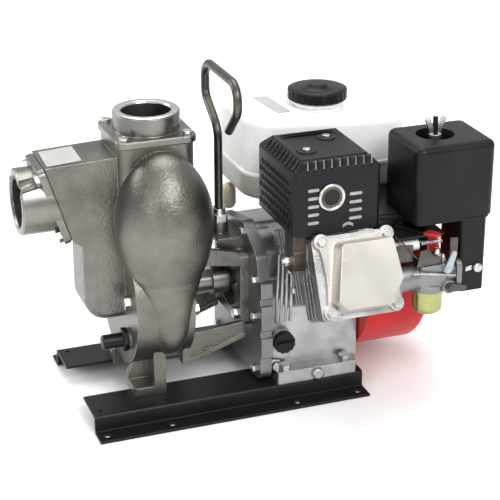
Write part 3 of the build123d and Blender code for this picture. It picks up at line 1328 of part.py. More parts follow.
BASE_SHEET = 4.0
ELBOW_SIZE = (32.0, 54.0)
with BuildPart() as air_cleaner_base:
    with BuildSketch(Plane.XY.offset(CLEANER_Z[0] - BASE_SHEET)):
        with Locations(cleaner_centre):
            RectangleRounded(cleaner_size[0] - 4, cleaner_size[1] - 4, 9)
    extrude(amount=BASE_SHEET)
    with BuildSketch(Plane.XY.offset(138)):
        with Locations(ELBOW):
            RectangleRounded(*ELBOW_SIZE, 5)
    extrude(amount=CLEANER_Z[0] - 138 - 1)
    with BuildSketch(Plane.XY.offset(142)):
        with Locations(ELBOW):
            RectangleRounded(ELBOW_SIZE[0] - 6, ELBOW_SIZE[1] - 6, 3)
    extrude(amount=CLEANER_Z[0] - 142 + 1, mode=Mode.SUBTRACT)
    with BuildSketch(along_x(ELBOW_X - 1, CARB_Y, CARB_Z)):
        Circle(CARB_BORE_R)
    extrude(amount=8, mode=Mode.SUBTRACT)
    with BuildSketch(Plane.XY.offset(CLEANER_Z[0] - BASE_SHEET)):
        with Locations(STUD):
            Circle(STUD_R)
    extrude(amount=CLEANER_Z[1] - CLEANER_Z[0] + 24)
save(air_cleaner_base, "air_cleaner_base")

with BuildPart() as air_filter:
    with BuildSketch(Plane.XY.offset(CLEANER_Z[0])):
        with Locations(STUD):
            Circle(36)
            Circle(16, mode=Mode.SUBTRACT)
    extrude(amount=64)
save(air_filter, "air_filter")

with BuildPart() as wing_nut:
    with BuildSketch(Plane.XY.offset(CLEANER_Z[1] - 14 + 0.1)):
        with Locations(STUD):
            Circle(7)
    extrude(amount=14)
    with BuildSketch(Plane.XZ.offset(-STUD[1] - 1.5)):
        with BuildLine():
            Polyline((STUD[0] - 13, 336), (STUD[0] - 5, 314), (STUD[0] + 5, 314), (STUD[0] + 13, 336),
                     (STUD[0] + 8, 338), (STUD[0], 320), (STUD[0] - 8, 338), close=True)
        make_face()
    extrude(amount=3)
    with BuildSketch(Plane.XY.offset(CLEANER_Z[1] - 20)):
        with Locations(STUD):
            Circle(STUD_R + 0.05)
    extrude(amount=40, mode=Mode.SUBTRACT)
save(wing_nut, "wing_nut")

# ---------------------------------------------------------------- fuel tank
TANK_X = (48.0, 248.0)
TANK_Y = (-24.0, 100.0)
TANK_Z = 225.0
TANK_SEAM_Z = 258.0
TANK_TOP_LEFT_Z = 330.0
TANK_TOP_RIGHT_Z = 315.0
TANK_WALL = 5.0
CAP_X = 149.0
CAP_Y = 23.0
CAP_R = 35.0
CAP_Z = 332.0
CAP_HEIGHT = 11.0
NECK_R = 28.0
NECK_HOLE_R = 20.0


def tank_body(inset):
    """The tank's rounded block, shrunk by a wall thickness, with its top sloping to the right."""
    x0, x1 = TANK_X[0] + inset, TANK_X[1] - inset
    y0, y1 = TANK_Y[0] + inset, TANK_Y[1] - inset
    left, right = TANK_TOP_LEFT_Z - inset, TANK_TOP_RIGHT_Z - inset
    with BuildPart(mode=Mode.PRIVATE) as block:
        with BuildSketch(Plane.XZ.offset(-y1)):
            with BuildLine():
                Polyline((x0, TANK_Z + inset), (x1, TANK_Z + inset), (x1, right), (x0, left), close=True)
            make_face()
        extrude(amount=y1 - y0)
        uprights = block.edges().filter_by(Axis.Z).sort_by(Axis.X)
        near_left = uprights[:2].sort_by(Axis.Y)[0]
        fillet([edge for edge in uprights if edge is not near_left], 26)
        corner = block.edges().filter_by(Axis.Z).sort_by(lambda edge: edge.center().X + edge.center().Y)[0]
        fillet(corner, 44 - inset)
        fillet(block.faces().sort_by(Axis.Z)[-1].edges(), 14 - inset)
        fillet(block.faces().sort_by(Axis.Z)[0].edges(), 8 - inset * 0.8)
    return block.part


with BuildPart() as fuel_tank:
    add(tank_body(0))
    with BuildSketch(Plane.XY.offset(TANK_TOP_LEFT_Z - 20)):
        with Locations((CAP_X, CAP_Y)):
            Circle(NECK_R)
    extrude(amount=CAP_Z - TANK_TOP_LEFT_Z + 20)
    add(tank_body(TANK_WALL), mode=Mode.SUBTRACT)
    with BuildSketch(Plane.XY.offset(TANK_SEAM_Z)):
        with Locations((sum(TANK_X) / 2, sum(TANK_Y) / 2)):
            RectangleRounded(TANK_X[1] - TANK_X[0] + 6, TANK_Y[1] - TANK_Y[0] + 6, 29)
            RectangleRounded(TANK_X[1] - TANK_X[0] - 4, TANK_Y[1] - TANK_Y[0] - 4, 26, mode=Mode.SUBTRACT)
    extrude(amount=3)
    with BuildSketch(Plane.XY.offset(CAP_Z)):
        with Locations((CAP_X, CAP_Y)):
            Circle(NECK_HOLE_R)
    extrude(amount=-30, mode=Mode.SUBTRACT)
save(fuel_tank, "fuel_tank")

CAP_RIBS = 24
with BuildPart() as fuel_cap:
    with BuildSketch(Plane.XY.offset(CAP_Z + 0.2)):
        with Locations((CAP_X, CAP_Y)):
            Circle(CAP_R)
            with PolarLocations(CAP_R + 1.2, CAP_RIBS):
                Circle(2.2, mode=Mode.SUBTRACT)
    extrude(amount=CAP_HEIGHT)
    with BuildSketch(Plane.XY.offset(CAP_Z + 0.2)):
        with Locations((CAP_X, CAP_Y)):
            Circle(NECK_HOLE_R - 0.4)
    extrude(amount=-12)
save(fuel_cap, "fuel_cap")

# ---------------------------------------------------------------- fan and starter
SHROUD_X = (167.0, 248.0)
SHROUD_R = 103.0
SHROUD_TOP_Z = 222.0
SHROUD_WALL = 2.5
HOUSING_X = (248.0, 282.0)
HOUSING_R = 64.0
FLYWHEEL_R = 88.0


def shroud_block(radius, start, end, top):
    with BuildPart(mode=Mode.PRIVATE) as block:
        with BuildSketch(along_x(start, 0, 0)):
            with Locations((0, CRANK_Z)):
                Circle(radius)
            with Locations((0, top + 100)):
                Rectangle(400, 200, mode=Mode.SUBTRACT)
        extrude(amount=end - start)
    return block.part


with BuildPart() as fan_shroud:
    add(shroud_block(SHROUD_R, *SHROUD_X, SHROUD_TOP_Z))
    fillet(fan_shroud.faces().sort_by(Axis.X)[-1].edges().filter_by(GeomType.CIRCLE), 9)
    add(
        shroud_block(SHROUD_R - SHROUD_WALL, SHROUD_X[0], SHROUD_X[1] - 6, SHROUD_TOP_Z - SHROUD_WALL),
        mode=Mode.SUBTRACT,
    )
    with BuildSketch(along_x(SHROUD_X[1] - 10, 0, CRANK_Z)):
        Circle(54)
    extrude(amount=12, mode=Mode.SUBTRACT)
    # back wall with room for the crankshaft's tail
    with BuildSketch(along_x(SHROUD_X[0], 0, 0)):
        with Locations((0, CRANK_Z)):
            Circle(SHROUD_R)
            Circle(JOURNAL_R + 6, mode=Mode.SUBTRACT)
        with Locations((0, SHROUD_TOP_Z + 100)):
            Rectangle(400, 200, mode=Mode.SUBTRACT)
    extrude(amount=SHROUD_WALL)
save(fan_shroud, "fan_shroud")

BLADES = 16
with BuildPart() as flywheel:
    with BuildSketch(along_x(FLYWHEEL_X, 0, CRANK_Z)):
        Circle(FLYWHEEL_R)
        Circle(9.0 + RUNNING_FIT, mode=Mode.SUBTRACT)
    extrude(amount=14)
    with BuildSketch(along_x(FLYWHEEL_X, 0, CRANK_Z)):
        Circle(22)
        Circle(9.0 + RUNNING_FIT, mode=Mode.SUBTRACT)
    extrude(amount=26)
    with BuildSketch(along_x(FLYWHEEL_X + 14, 0, CRANK_Z)):
        with PolarLocations(69, BLADES):
            Rectangle(32, 3)
    extrude(amount=22)
save(flywheel, "flywheel")

with BuildPart() as starter_cup:
    with BuildSketch(along_x(FLYWHEEL_X + 26.1, 0, CRANK_Z)):
        Circle(34)
        Circle(9.0 + RUNNING_FIT, mode=Mode.SUBTRACT)
    extrude(amount=3)
    with BuildSketch(along_x(FLYWHEEL_X + 29.1, 0, CRANK_Z)):
        Circle(34)
        Circle(31, mode=Mode.SUBTRACT)
    extrude(amount=18)
save(starter_cup, "starter_cup")

ROPE_R = 1.75
ROPE_RADIUS = 44.0
ROPE_X = 266.0
ROPE_ANGLE = 30.0
rope_normal = (cos(radians(ROPE_ANGLE)), sin(radians(ROPE_ANGLE)))
rope_along = (-rope_normal[1], rope_normal[0])
SPINDLE_R = 8.0


def rope_plane(distance):
    """A plane square to the starter rope, a distance along it from where it leaves the pulley."""
    y = rope_normal[0] * ROPE_RADIUS + rope_along[0] * distance
    z = CRANK_Z + rope_normal[1] * ROPE_RADIUS + rope_along[1] * distance
    return Plane(origin=(ROPE_X, y, z), x_dir=(1, 0, 0), z_dir=(0, rope_along[0], rope_along[1]))


with BuildPart() as recoil_housing:
    add(shroud_block(HOUSING_R, *HOUSING_X, 400))
    fillet(recoil_housing.faces().sort_by(Axis.X)[-1].edges(), 12)
    with BuildSketch(along_x(HOUSING_X[0], 0, CRANK_Z)):
        Circle(HOUSING_R - 6)
    extrude(amount=29, mode=Mode.SUBTRACT)
    with BuildSketch(along_x(HOUSING_X[0] + 9, 0, CRANK_Z)):
        Circle(SPINDLE_R)
    extrude(amount=22)
    # cooling-air slots round the face
    with BuildSketch(along_x(HOUSING_X[1], 0, CRANK_Z)):
        with PolarLocations(35, 12):
            SlotOverall(20, 5)
    extrude(amount=-8, mode=Mode.SUBTRACT)
    with BuildSketch(rope_plane(30)):
        Circle(ROPE_R + 0.6)
    extrude(amount=30, mode=Mode.SUBTRACT)
save(recoil_housing, "recoil_housing")

PULLEY_R = 48.0
with BuildPart() as recoil_pulley:
    with BuildSketch(along_x(ROPE_X - 8, 0, CRANK_Z)):
        Circle(PULLEY_R)
    extrude(amount=16)
    with BuildSketch(along_x(ROPE_X - 3, 0, CRANK_Z)):
        Circle(PULLEY_R + 1)
        Circle(ROPE_RADIUS - ROPE_R - 0.3, mode=Mode.SUBTRACT)
    extrude(amount=6, mode=Mode.SUBTRACT)
    with BuildSketch(along_x(ROPE_X - 8, 0, CRANK_Z)):
        Circle(SPINDLE_R + 0.05)
    extrude(amount=20, mode=Mode.SUBTRACT)
save(recoil_pulley, "recoil_pulley")

GRIP_START = 62.0
GRIP_BAR = 46.0
with BuildPart() as starter_grip:
    with BuildSketch(rope_plane(GRIP_START)):
        RectangleRounded(12, GRIP_BAR, 5)
    extrude(amount=16)
    fillet(starter_grip.faces().sort_by(Axis(origin=(0, 0, 0), direction=(0, *rope_along)))[-1].edges(), 4)
save(starter_grip, "starter_grip")

with BuildPart() as starter_rope:
    with BuildSketch(rope_plane(6)):
        Circle(ROPE_R)
    extrude(amount=GRIP_START - 6)
save(starter_rope, "starter_rope")

with BuildPart() as oil_filler_cap:
    with BuildSketch(Plane.XZ.offset(-FILLER_FACE_Y + 0.2)):
        with Locations((FILLER_X, FILLER_Z)):
            Circle(FILLER_R)
            with PolarLocations(FILLER_R + 1, 12):
                Circle(2, mode=Mode.SUBTRACT)
    extrude(amount=9)
    with BuildSketch(Plane.XZ.offset(-FILLER_FACE_Y + 9.2)):
        with Locations((FILLER_X, FILLER_Z)):
            Rectangle(20, 5)
    extrude(amount=4)
    with BuildSketch(Plane.XZ.offset(-FILLER_FACE_Y + 0.2)):
        with Locations((FILLER_X, FILLER_Z)):
            Circle(FILLER_THREAD_R)
    extrude(amount=-14)
save(oil_filler_cap, "oil_filler_cap")
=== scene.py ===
import json
from math import cos, pi, radians, sin

import bmesh
import bpy
from mathutils import Matrix, Vector


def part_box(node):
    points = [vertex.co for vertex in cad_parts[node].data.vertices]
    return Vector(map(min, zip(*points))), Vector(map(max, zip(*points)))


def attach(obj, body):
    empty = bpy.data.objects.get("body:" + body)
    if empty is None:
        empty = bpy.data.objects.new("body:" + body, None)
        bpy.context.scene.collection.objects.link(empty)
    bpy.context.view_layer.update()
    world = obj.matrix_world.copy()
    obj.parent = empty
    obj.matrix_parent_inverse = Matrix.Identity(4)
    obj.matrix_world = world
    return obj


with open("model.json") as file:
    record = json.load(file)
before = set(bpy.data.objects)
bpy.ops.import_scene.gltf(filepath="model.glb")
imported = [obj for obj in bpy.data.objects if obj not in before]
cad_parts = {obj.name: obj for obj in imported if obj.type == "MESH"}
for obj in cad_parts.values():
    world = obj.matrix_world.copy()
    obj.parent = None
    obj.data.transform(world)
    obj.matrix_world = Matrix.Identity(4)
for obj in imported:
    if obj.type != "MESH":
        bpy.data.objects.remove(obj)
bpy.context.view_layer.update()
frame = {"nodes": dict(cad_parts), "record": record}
MM = 0.001


# ---------------------------------------------------------------- materials
EDGE_RADIUS = 0.0012          # metres of edge that count as rubbed
EDGE_FACING = (0.80, 0.985)   # how far rounded and true normals agree, fully worn to not worn


def shader(name, rough, metallic):
    mat = bpy.data.materials.new(name)
    mat.use_nodes = True
    tree = mat.node_tree
    bsdf = tree.nodes["Principled BSDF"]
    bsdf.inputs["Roughness"].default_value = rough
    bsdf.inputs["Metallic"].default_value = metallic
    bsdf.inputs["Coat Roughness"].default_value = 0.2
    return mat, tree, bsdf


def noise(tree, scale, detail, rough=0.6):
    coord = tree.nodes.new("ShaderNodeTexCoord")
    node = tree.nodes.new("ShaderNodeTexNoise")
    node.inputs["Scale"].default_value = scale
    node.inputs["Detail"].default_value = detail
    node.inputs["Roughness"].default_value = rough
    tree.links.new(coord.outputs["Object"], node.inputs["Vector"])
    return node


def ramp(tree, source, stops):
    node = tree.nodes.new("ShaderNodeValToRGB")
    points = node.color_ramp.elements
    while len(points) < len(stops):
        points.new(0.5)
    for point, (place, colour) in zip(points, stops):
        point.position = place
        point.color = (*colour, 1.0)
    tree.links.new(source, node.inputs["Fac"])
    return node


def mixer(tree, factor=None, blend="MIX"):
    node = tree.nodes.new("ShaderNodeMix")
    node.data_type = "RGBA"
    node.blend_type = blend
    if factor is not None:
        node.inputs["Factor"].default_value = factor
    return node


def bump_from(tree, source, strength, depth):
    node = tree.nodes.new("ShaderNodeBump")
    node.inputs["Strength"].default_value = strength
    node.inputs["Distance"].default_value = depth
    tree.links.new(source, node.inputs["Height"])
    return node


def finish_of(name, light, dark, rough, metallic, patch, grain, bump, depth,
              edge=None, gloss=0.5, rough_spread=0.12, wear=0.6):
    """A finish with slow colour patches, fine grain in bump and roughness, and rubbed edges."""
    mat, tree, bsdf = shader(name, rough, metallic)
    bsdf.inputs["Specular IOR Level"].default_value = gloss
    patches = noise(tree, patch, 5.0)
    result = ramp(tree, patches.outputs["Fac"], [(0.32, dark), (0.68, light)]).outputs["Color"]
    if edge:
        bevel = tree.nodes.new("ShaderNodeBevel")
        bevel.samples = 4
        bevel.inputs["Radius"].default_value = EDGE_RADIUS
        geometry = tree.nodes.new("ShaderNodeNewGeometry")
        dot = tree.nodes.new("ShaderNodeVectorMath")
        dot.operation = "DOT_PRODUCT"
        tree.links.new(bevel.outputs["Normal"], dot.inputs[0])
        tree.links.new(geometry.outputs["Normal"], dot.inputs[1])
        stops = [(EDGE_FACING[0], (wear, wear, wear)), (EDGE_FACING[1], (0, 0, 0))]
        worn = ramp(tree, dot.outputs["Value"], stops)
        mix = mixer(tree)
        tree.links.new(worn.outputs["Color"], mix.inputs["Factor"])
        tree.links.new(result, mix.inputs["A"])
        mix.inputs["B"].default_value = (*edge, 1.0)
        result = mix.outputs["Result"]
    tree.links.new(result, bsdf.inputs["Base Color"])
    fine = noise(tree, grain, 3.0)
    spread = tree.nodes.new("ShaderNodeMapRange")
    spread.inputs["To Min"].default_value = max(rough - rough_spread, 0.05)
    spread.inputs["To Max"].default_value = min(rough + rough_spread, 1.0)
    tree.links.new(patches.outputs["Fac"], spread.inputs["Value"])
    tree.links.new(spread.outputs["Result"], bsdf.inputs["Roughness"])
    hill = bump_from(tree, fine.outputs["Fac"], bump, depth)
    if edge:
        tree.links.new(bevel.outputs["Normal"], hill.inputs["Normal"])
    tree.links.new(hill.outputs["Normal"], bsdf.inputs["Normal"])
    return mat


TANK_SHADE_FADE = (0.225, 0.335)   # heights in metres over which the tank's painted shade runs from dark at the base to white at the top
TANK_SHADE_STOPS = [
    (0.0, (0.27, 0.28, 0.235)),
    (0.27, (0.50, 0.51, 0.45)),
    (0.33, (0.84, 0.84, 0.83)),
    (1.0, (0.88, 0.88, 0.88)),
]


def tank_finish():
    """Moulded white tank with a little subsurface light; below the seam its colour is painted darker
    grey-green as painted shade, fading to white towards the top.
    """
    mat, tree, bsdf = shader("tank white", 0.38, 0.0)
    bsdf.inputs["Subsurface Weight"].default_value = 0.08
    bsdf.inputs["Subsurface Radius"].default_value = (0.004, 0.004, 0.003)
    place = tree.nodes.new("ShaderNodeTexCoord")
    split = tree.nodes.new("ShaderNodeSeparateXYZ")
    tree.links.new(place.outputs["Object"], split.inputs["Vector"])
    level = tree.nodes.new("ShaderNodeMapRange")
    level.inputs["From Min"].default_value, level.inputs["From Max"].default_value = TANK_SHADE_FADE
    tree.links.new(split.outputs["Z"], level.inputs["Value"])
    # painted shade: colour by height, darker towards the bottom
    body = ramp(tree, level.outputs["Result"], TANK_SHADE_STOPS)
    cloud = noise(tree, 22.0, 4.0)
    veil = ramp(tree, cloud.outputs["Fac"], [(0.3, (0.93, 0.93, 0.92)), (0.7, (1, 1, 1))])
    mix = mixer(tree, 1.0, "MULTIPLY")
    tree.links.new(body.outputs["Color"], mix.inputs["A"])
    tree.links.new(veil.outputs["Color"], mix.inputs["B"])
    tree.links.new(mix.outputs["Result"], bsdf.inputs["Base Color"])
    hill = bump_from(tree, noise(tree, 700.0, 2.0).outputs["Fac"], 0.06, 0.0003)
    tree.links.new(hill.outputs["Normal"], bsdf.inputs["Normal"])
    return mat


# slot: name, light, dark, roughness, metallic, patch scale, grain scale, bump, depth, worn edge, gloss
FINISH = {slot: finish_of(*values) for slot, values in {
    "cast_stainless": ("cast stainless", (0.225, 0.215, 0.193), (0.125, 0.119, 0.105),
                       0.30, 0.9, 16, 380, 0.7, 0.001, (0.46, 0.45, 0.42)),
    "machined_stainless": ("machined stainless", (0.27, 0.26, 0.235), (0.15, 0.144, 0.13),
                           0.3, 0.95, 26, 900, 0.3, 0.0004, (0.72, 0.71, 0.69)),
    "bright_steel": ("bright steel", (0.66, 0.66, 0.65), (0.46, 0.46, 0.45),
                     0.26, 0.95, 60, 1600, 0.1, 0.0002, (0.85, 0.85, 0.84)),
    "handle_steel": ("handle steel", (0.13, 0.12, 0.105), (0.065, 0.06, 0.055),
                     0.32, 0.85, 24, 900, 0.1, 0.0003),
    "black_painted_steel": ("black paint", (0.010, 0.010, 0.011), (0.005, 0.005, 0.006),
                            0.36, 0.0, 12, 700, 0.2, 0.0003, (0.045, 0.045, 0.045), 0.22),
    "gasket_fibre": ("gasket fibre", (0.09, 0.085, 0.08), (0.05, 0.047, 0.045),
                     0.8, 0.0, 60, 1200, 0.4, 0.0004),
    "valve_rubber": ("valve rubber", (0.03, 0.03, 0.03), (0.018, 0.018, 0.018),
                     0.7, 0.0, 40, 900, 0.3, 0.0003),
    "seal_ceramic": ("seal ceramic", (0.72, 0.70, 0.66), (0.62, 0.60, 0.56),
                     0.3, 0.0, 40, 900, 0.1, 0.0002),
    "cast_aluminium": ("cast aluminium", (0.54, 0.545, 0.54), (0.30, 0.305, 0.305),
                       0.30, 0.92, 22, 600, 0.5, 0.0006, (0.82, 0.82, 0.81)),
    # painted shade: a darker copy of the cast aluminium, used for aluminium parts that stand in shade
    "dark_aluminium": ("aluminium painted shade", (0.26, 0.262, 0.265), (0.15, 0.153, 0.158),
                       0.36, 0.9, 16, 600, 0.4, 0.0006, (0.62, 0.62, 0.61)),
    "cover_aluminium": ("valve cover aluminium", (0.56, 0.53, 0.495), (0.47, 0.445, 0.41),
                        0.3, 0.75, 10, 500, 0.15, 0.0004, (0.92, 0.91, 0.88)),
    "heat_steel": ("heat steel", (0.16, 0.12, 0.085), (0.055, 0.042, 0.032),
                   0.36, 0.8, 22, 600, 0.3, 0.0005, (0.35, 0.3, 0.24)),
    "zinc_yellow": ("zinc yellow", (0.46, 0.47, 0.20), (0.30, 0.31, 0.12),
                    0.25, 0.9, 40, 900, 0.05, 0.0001, (0.8, 0.8, 0.62)),
    "plug_porcelain": ("plug porcelain", (0.80, 0.79, 0.76), (0.70, 0.69, 0.66),
                       0.2, 0.0, 30, 900, 0.05, 0.0002),
    "black_plastic": ("black plastic", (0.012, 0.012, 0.012), (0.006, 0.006, 0.006),
                      0.34, 0.0, 14, 1100, 0.22, 0.0003, (0.03, 0.03, 0.03), 0.2),
    "filter_foam": ("filter foam", (0.25, 0.24, 0.21), (0.12, 0.115, 0.10),
                    0.9, 0.0, 120, 900, 0.9, 0.001),
    "red_painted_steel": ("red paint", (0.56, 0.012, 0.016), (0.42, 0.008, 0.012),
                          0.3, 0.0, 10, 600, 0.08, 0.0003, (0.62, 0.06, 0.06), 0.25),
    "red_lever": ("red lever", (0.40, 0.014, 0.02), (0.42, 0.015, 0.02),
                  0.35, 0.0, 40, 900, 0.1, 0.0002),
    "grey_lever": ("grey lever", (0.42, 0.47, 0.50), (0.34, 0.38, 0.41),
                   0.4, 0.1, 40, 900, 0.1, 0.0002),
    "cord": ("starter cord", (0.08, 0.08, 0.08), (0.03, 0.03, 0.03),
             0.85, 0.0, 300, 1600, 0.8, 0.0006),
}.items()}
FINISH["white_tank"] = tank_finish()
LABEL = finish_of("blank label", (0.52, 0.53, 0.50), (0.44, 0.45, 0.42),
                  0.35, 0.25, 30, 800, 0.05, 0.0002)
PLATE = finish_of("blank plate", (0.50, 0.495, 0.48), (0.42, 0.415, 0.40),
                  0.35, 0.2, 40, 900, 0.08, 0.0002)
CREAM = finish_of("cream moulding", (0.74, 0.68, 0.52), (0.64, 0.58, 0.42),
                  0.4, 0.0, 40, 700, 0.1, 0.0003)
SHADOW = finish_of("slot shadow", (0.006, 0.006, 0.006), (0.003, 0.003, 0.003),
                   0.7, 0.0, 40, 700, 0.1, 0.0003)
# painted highlight: brighter metal strips that stand in for light caught on the guard's louvre lips and
# slots
GLINT = finish_of("guard painted highlight", (0.42, 0.41, 0.39), (0.26, 0.25, 0.24),
                  0.3, 0.85, 60, 900, 0.1, 0.0003)


def dress(obj, mat):
    obj.data.materials.clear()
    obj.data.materials.append(mat)


node_slot = {row["node"]: row["material_slot"] for row in frame["record"]["subparts"]}
for node, obj in frame["nodes"].items():
    dress(obj, FINISH[node_slot.get(node, "bright_steel")])
# nodes that look different from their material slot
for node, slot in (
    ("control_base", "black_painted_steel"),
    # the carburettor's darker aluminium is painted shade
    ("carburettor", "dark_aluminium"),
    ("throttle_lever", "black_painted_steel"),
    ("fuel_valve_lever", "handle_steel"),
):
    dress(frame["nodes"][node], FINISH[slot])


# ---------------------------------------------------------------- mesh helpers
def make(name, bm, mat, slot, body="pump_set", bevel=0.0, smooth=True):
    mesh = bpy.data.meshes.new(name)
    bmesh.ops.recalc_face_normals(bm, faces=bm.faces)
    bm.to_mesh(mesh)
    bm.free()
    obj = bpy.data.objects.new(name, mesh)
    bpy.context.scene.collection.objects.link(obj)
    dress(obj, mat)
    if bevel:
        mod = obj.modifiers.new("bevel", "BEVEL")
        mod.width = bevel
        mod.segments = 3
        mod.limit_method = "ANGLE"
    for poly in mesh.polygons:
        poly.use_smooth = smooth
    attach(obj, body)
    return obj


def spot(x, y, z):
    return Vector((x, y, z)) * MM


def plate(bm, corners, depth):
    """A flat plate with the given corners, in mm, thickened along its own normal."""
    low = [bm.verts.new(spot(*p)) for p in corners]
    normal = (low[1].co - low[0].co).cross(low[2].co - low[0].co).normalized()
    high = [bm.verts.new(v.co + normal * depth * MM) for v in low]
    bm.faces.new(low)
    bm.faces.new(high[::-1])
    for i in range(len(low)):
        j = (i + 1) % len(low)
        bm.faces.new((low[i], high[i], high[j], low[j]))


def resting(obj, x, y):
    """The place in mm just above where a point let down from above meets a node, at this x and y."""
    start = obj.matrix_world.inverted() @ Vector((x * MM, y * MM, 1))
    place = obj.ray_cast(start, Vector((0, 0, -1)))[1]
    return (x, y, (obj.matrix_world @ place).z / MM + 0.1)


def band(bm, a, b):
    """Faces between two closed rings with the same number of vertices."""
    for k in range(len(a)):
        j = (k + 1) % len(a)
        bm.faces.new((a[k], a[j], b[j], b[k]))


def lathe(bm, profile, origin, axis, segments=32, capped=True):
    """Turns (radius, height) pairs about an axis through origin, all in mm."""
    axis = Vector(axis).normalized()
    side = axis.orthogonal().normalized()
    other = axis.cross(side)
    rings = []
    for r, h in profile:
        ring = []
        for k in range(segments):
            turn = 2 * pi * k / segments
            spoke = (side * cos(turn) + other * sin(turn)) * r * MM
            ring.append(bm.verts.new(spot(*origin) + spoke + axis * h * MM))
        rings.append(ring)
    for a, b in zip(rings, rings[1:]):
        band(bm, a, b)
    if capped:
        bm.faces.new(rings[0][::-1])
        bm.faces.new(rings[-1])


def turned(name, profile, origin, axis, mat, slot, segments, capped=True, **how):
    """A piece of its own, turned as lathe turns it."""
    bm = bmesh.new()
    lathe(bm, profile, origin, axis, segments, capped)
    return make(name, bm, mat, slot, **how)


def louvre(bm, centre, along, across, out, length, width, lift):
    """A pressed louvre: a shell rising from one long edge to an open lip at the other."""
    along, across, out = (Vector(v).normalized() for v in (along, across, out))
    steps, rows = 12, 5
    grid = []
    for i in range(steps + 1):
        s = i / steps
        row = []
        for j in range(rows + 1):
            t = j / rows
            rise = lift * sin(t * pi / 2) * (1 - abs(2 * s - 1) ** 5) + 0.15
            shift = along * (s - 0.5) * length + across * ((t - 0.5) * width)
            row.append(bm.verts.new(spot(*centre) + (shift + out * rise) * MM))
        grid.append(row)
    for i in range(steps):
        for j in range(rows):
            bm.faces.new((grid[i][j], grid[i + 1][j], grid[i + 1][j + 1], grid[i][j + 1]))


def rod(name, points, radius, mat, body="pump_set", smooth=False):
    """A round rod through points, all in mm; smooth rounds its corners."""
    curve = bpy.data.curves.new(name, "CURVE")
    curve.dimensions = "3D"
    curve.bevel_depth = radius * MM
    curve.bevel_resolution = 4
    curve.use_fill_caps = True
    line = curve.splines.new("NURBS" if smooth else "POLY")
    line.points.add(len(points) - 1)
    for point, place in zip(line.points, points):
        point.co = (*spot(*place), 1.0)
    if smooth:
        line.order_u = 3
        line.use_endpoint_u = True
    holder = bpy.data.objects.new(name, curve)
    bpy.context.scene.collection.objects.link(holder)
    bpy.context.view_layer.update()
    solid = holder.evaluated_get(bpy.context.evaluated_depsgraph_get())
    mesh = bpy.data.meshes.new_from_object(solid)
    bpy.data.objects.remove(holder)
    obj = bpy.data.objects.new(name, mesh)
    bpy.context.scene.collection.objects.link(obj)
    dress(obj, mat)
    for poly in mesh.polygons:
        poly.use_smooth = True
    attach(obj, body)
    return obj


def box_mm(node):
    """A node's lowest and highest corner, in mm."""
    low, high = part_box(node)
    return [value / MM for value in low], [value / MM for value in high]


# ---------------------------------------------------------------- muffler guard details
(x0, y0, z0), (x1, y1, z1) = box_mm("muffler_guard")
GUARD_BEVEL = 13.0
OUTLET_X, OUTLET_Z = 95.4, 275
front = [x0 + 14 + 9.4 * i for i in range(9)]
left = [y0 + 16 + 10.2 * i for i in range(9)]
slope = z1 - GUARD_BEVEL / 2   # height of the middle of the sloping edge

bm = bmesh.new()
for x in front:
    louvre(bm, (x, y0 + GUARD_BEVEL / 2, slope), (0.35, 1, 1), (1, 0, 0), (0, -1, 1), 14, 5.0, 2.2)
for y in left:
    louvre(bm, (x0 + GUARD_BEVEL / 2, y, slope), (1, 0.35, 1), (0, -1, 0), (-1, 0, 1), 14, 5.4, 2.2)
for y in (y1 - 17, y1 - 24):
    louvre(bm, ((x0 + x1) / 2, y, z1), (1, 0, 0), (0, -1, 0), (0, 0, 1), x1 - x0 - 34, 4.5, 1.6)
make("guard_louvres", bm, FINISH["black_painted_steel"], "black_painted_steel")


def glint(bm, middle, along, wide, depth):
    """A thin strip of painted highlight along a louvre's open lip."""
    reach = Vector(along).normalized() * 5.6
    wide = Vector(wide)
    corners = (middle - reach, middle - reach + wide, middle + reach + wide, middle + reach)
    plate(bm, [tuple(c) for c in corners], depth)


# painted highlights along the louvres' open lips
bm = bmesh.new()
for x in front:
    lip = Vector((x + 2.9, y0 + GUARD_BEVEL / 2, slope)) + Vector((0, -1, 1)) * 0.9
    glint(bm, lip, (0.35, 1, 1), (0.9, 0, 0), 0.5)
for y in left:
    lip = Vector((x0 + GUARD_BEVEL / 2, y - 3.1, slope)) + Vector((-1, 0, 1)) * 0.9
    glint(bm, lip, (1, 0.35, 1), (0, -0.7, 0), 0.4)
make("guard_louvre_painted_highlights", bm, GLINT, "heat_steel", smooth=False)

# small six-sided perforations down the guard's left side, drawn as near-black rings of painted shade
HOLE_ROWS, HOLE_COLUMNS = 6, 10
HOLE_PITCH, ROW_PITCH = 9.8, 9.6
HOLE_RIM, HOLE_FLOOR = (0.05, 3.9), (0.7, 3.0)   # how far out of the side, radius
bm = bmesh.new()
for row in range(HOLE_ROWS):
    for column in range(HOLE_COLUMNS):
        y = y0 + 14 + HOLE_PITCH * column + (HOLE_PITCH / 2 if row % 2 else 0)
        z = z0 + 10 + ROW_PITCH * row
        if y > y1 - 8:
            continue
        outer, inner = [], []
        for k in range(6):
            turn = pi / 3 * k
            for ring, (out, r) in ((outer, HOLE_RIM), (inner, HOLE_FLOOR)):
                ring.append(bm.verts.new(spot(x0 - out, y + r * cos(turn), z + r * sin(turn))))
        band(bm, outer, inner)
make("guard_side_perforations", bm, SHADOW, "black_painted_steel", smooth=False)

# dished cups round the two guard screws
CUP = [(11.5, 0.05), (10.2, 1.3), (8.4, 1.5), (6.0, 0.4), (4.4, 0.3)]
bm = bmesh.new()
for x, y in ((81, -112), (119, -76)):
    lathe(bm, CUP, (x, y, z1), (0, 0, 1), 36)
make("guard_screw_cups", bm, FINISH["black_painted_steel"], "black_painted_steel")
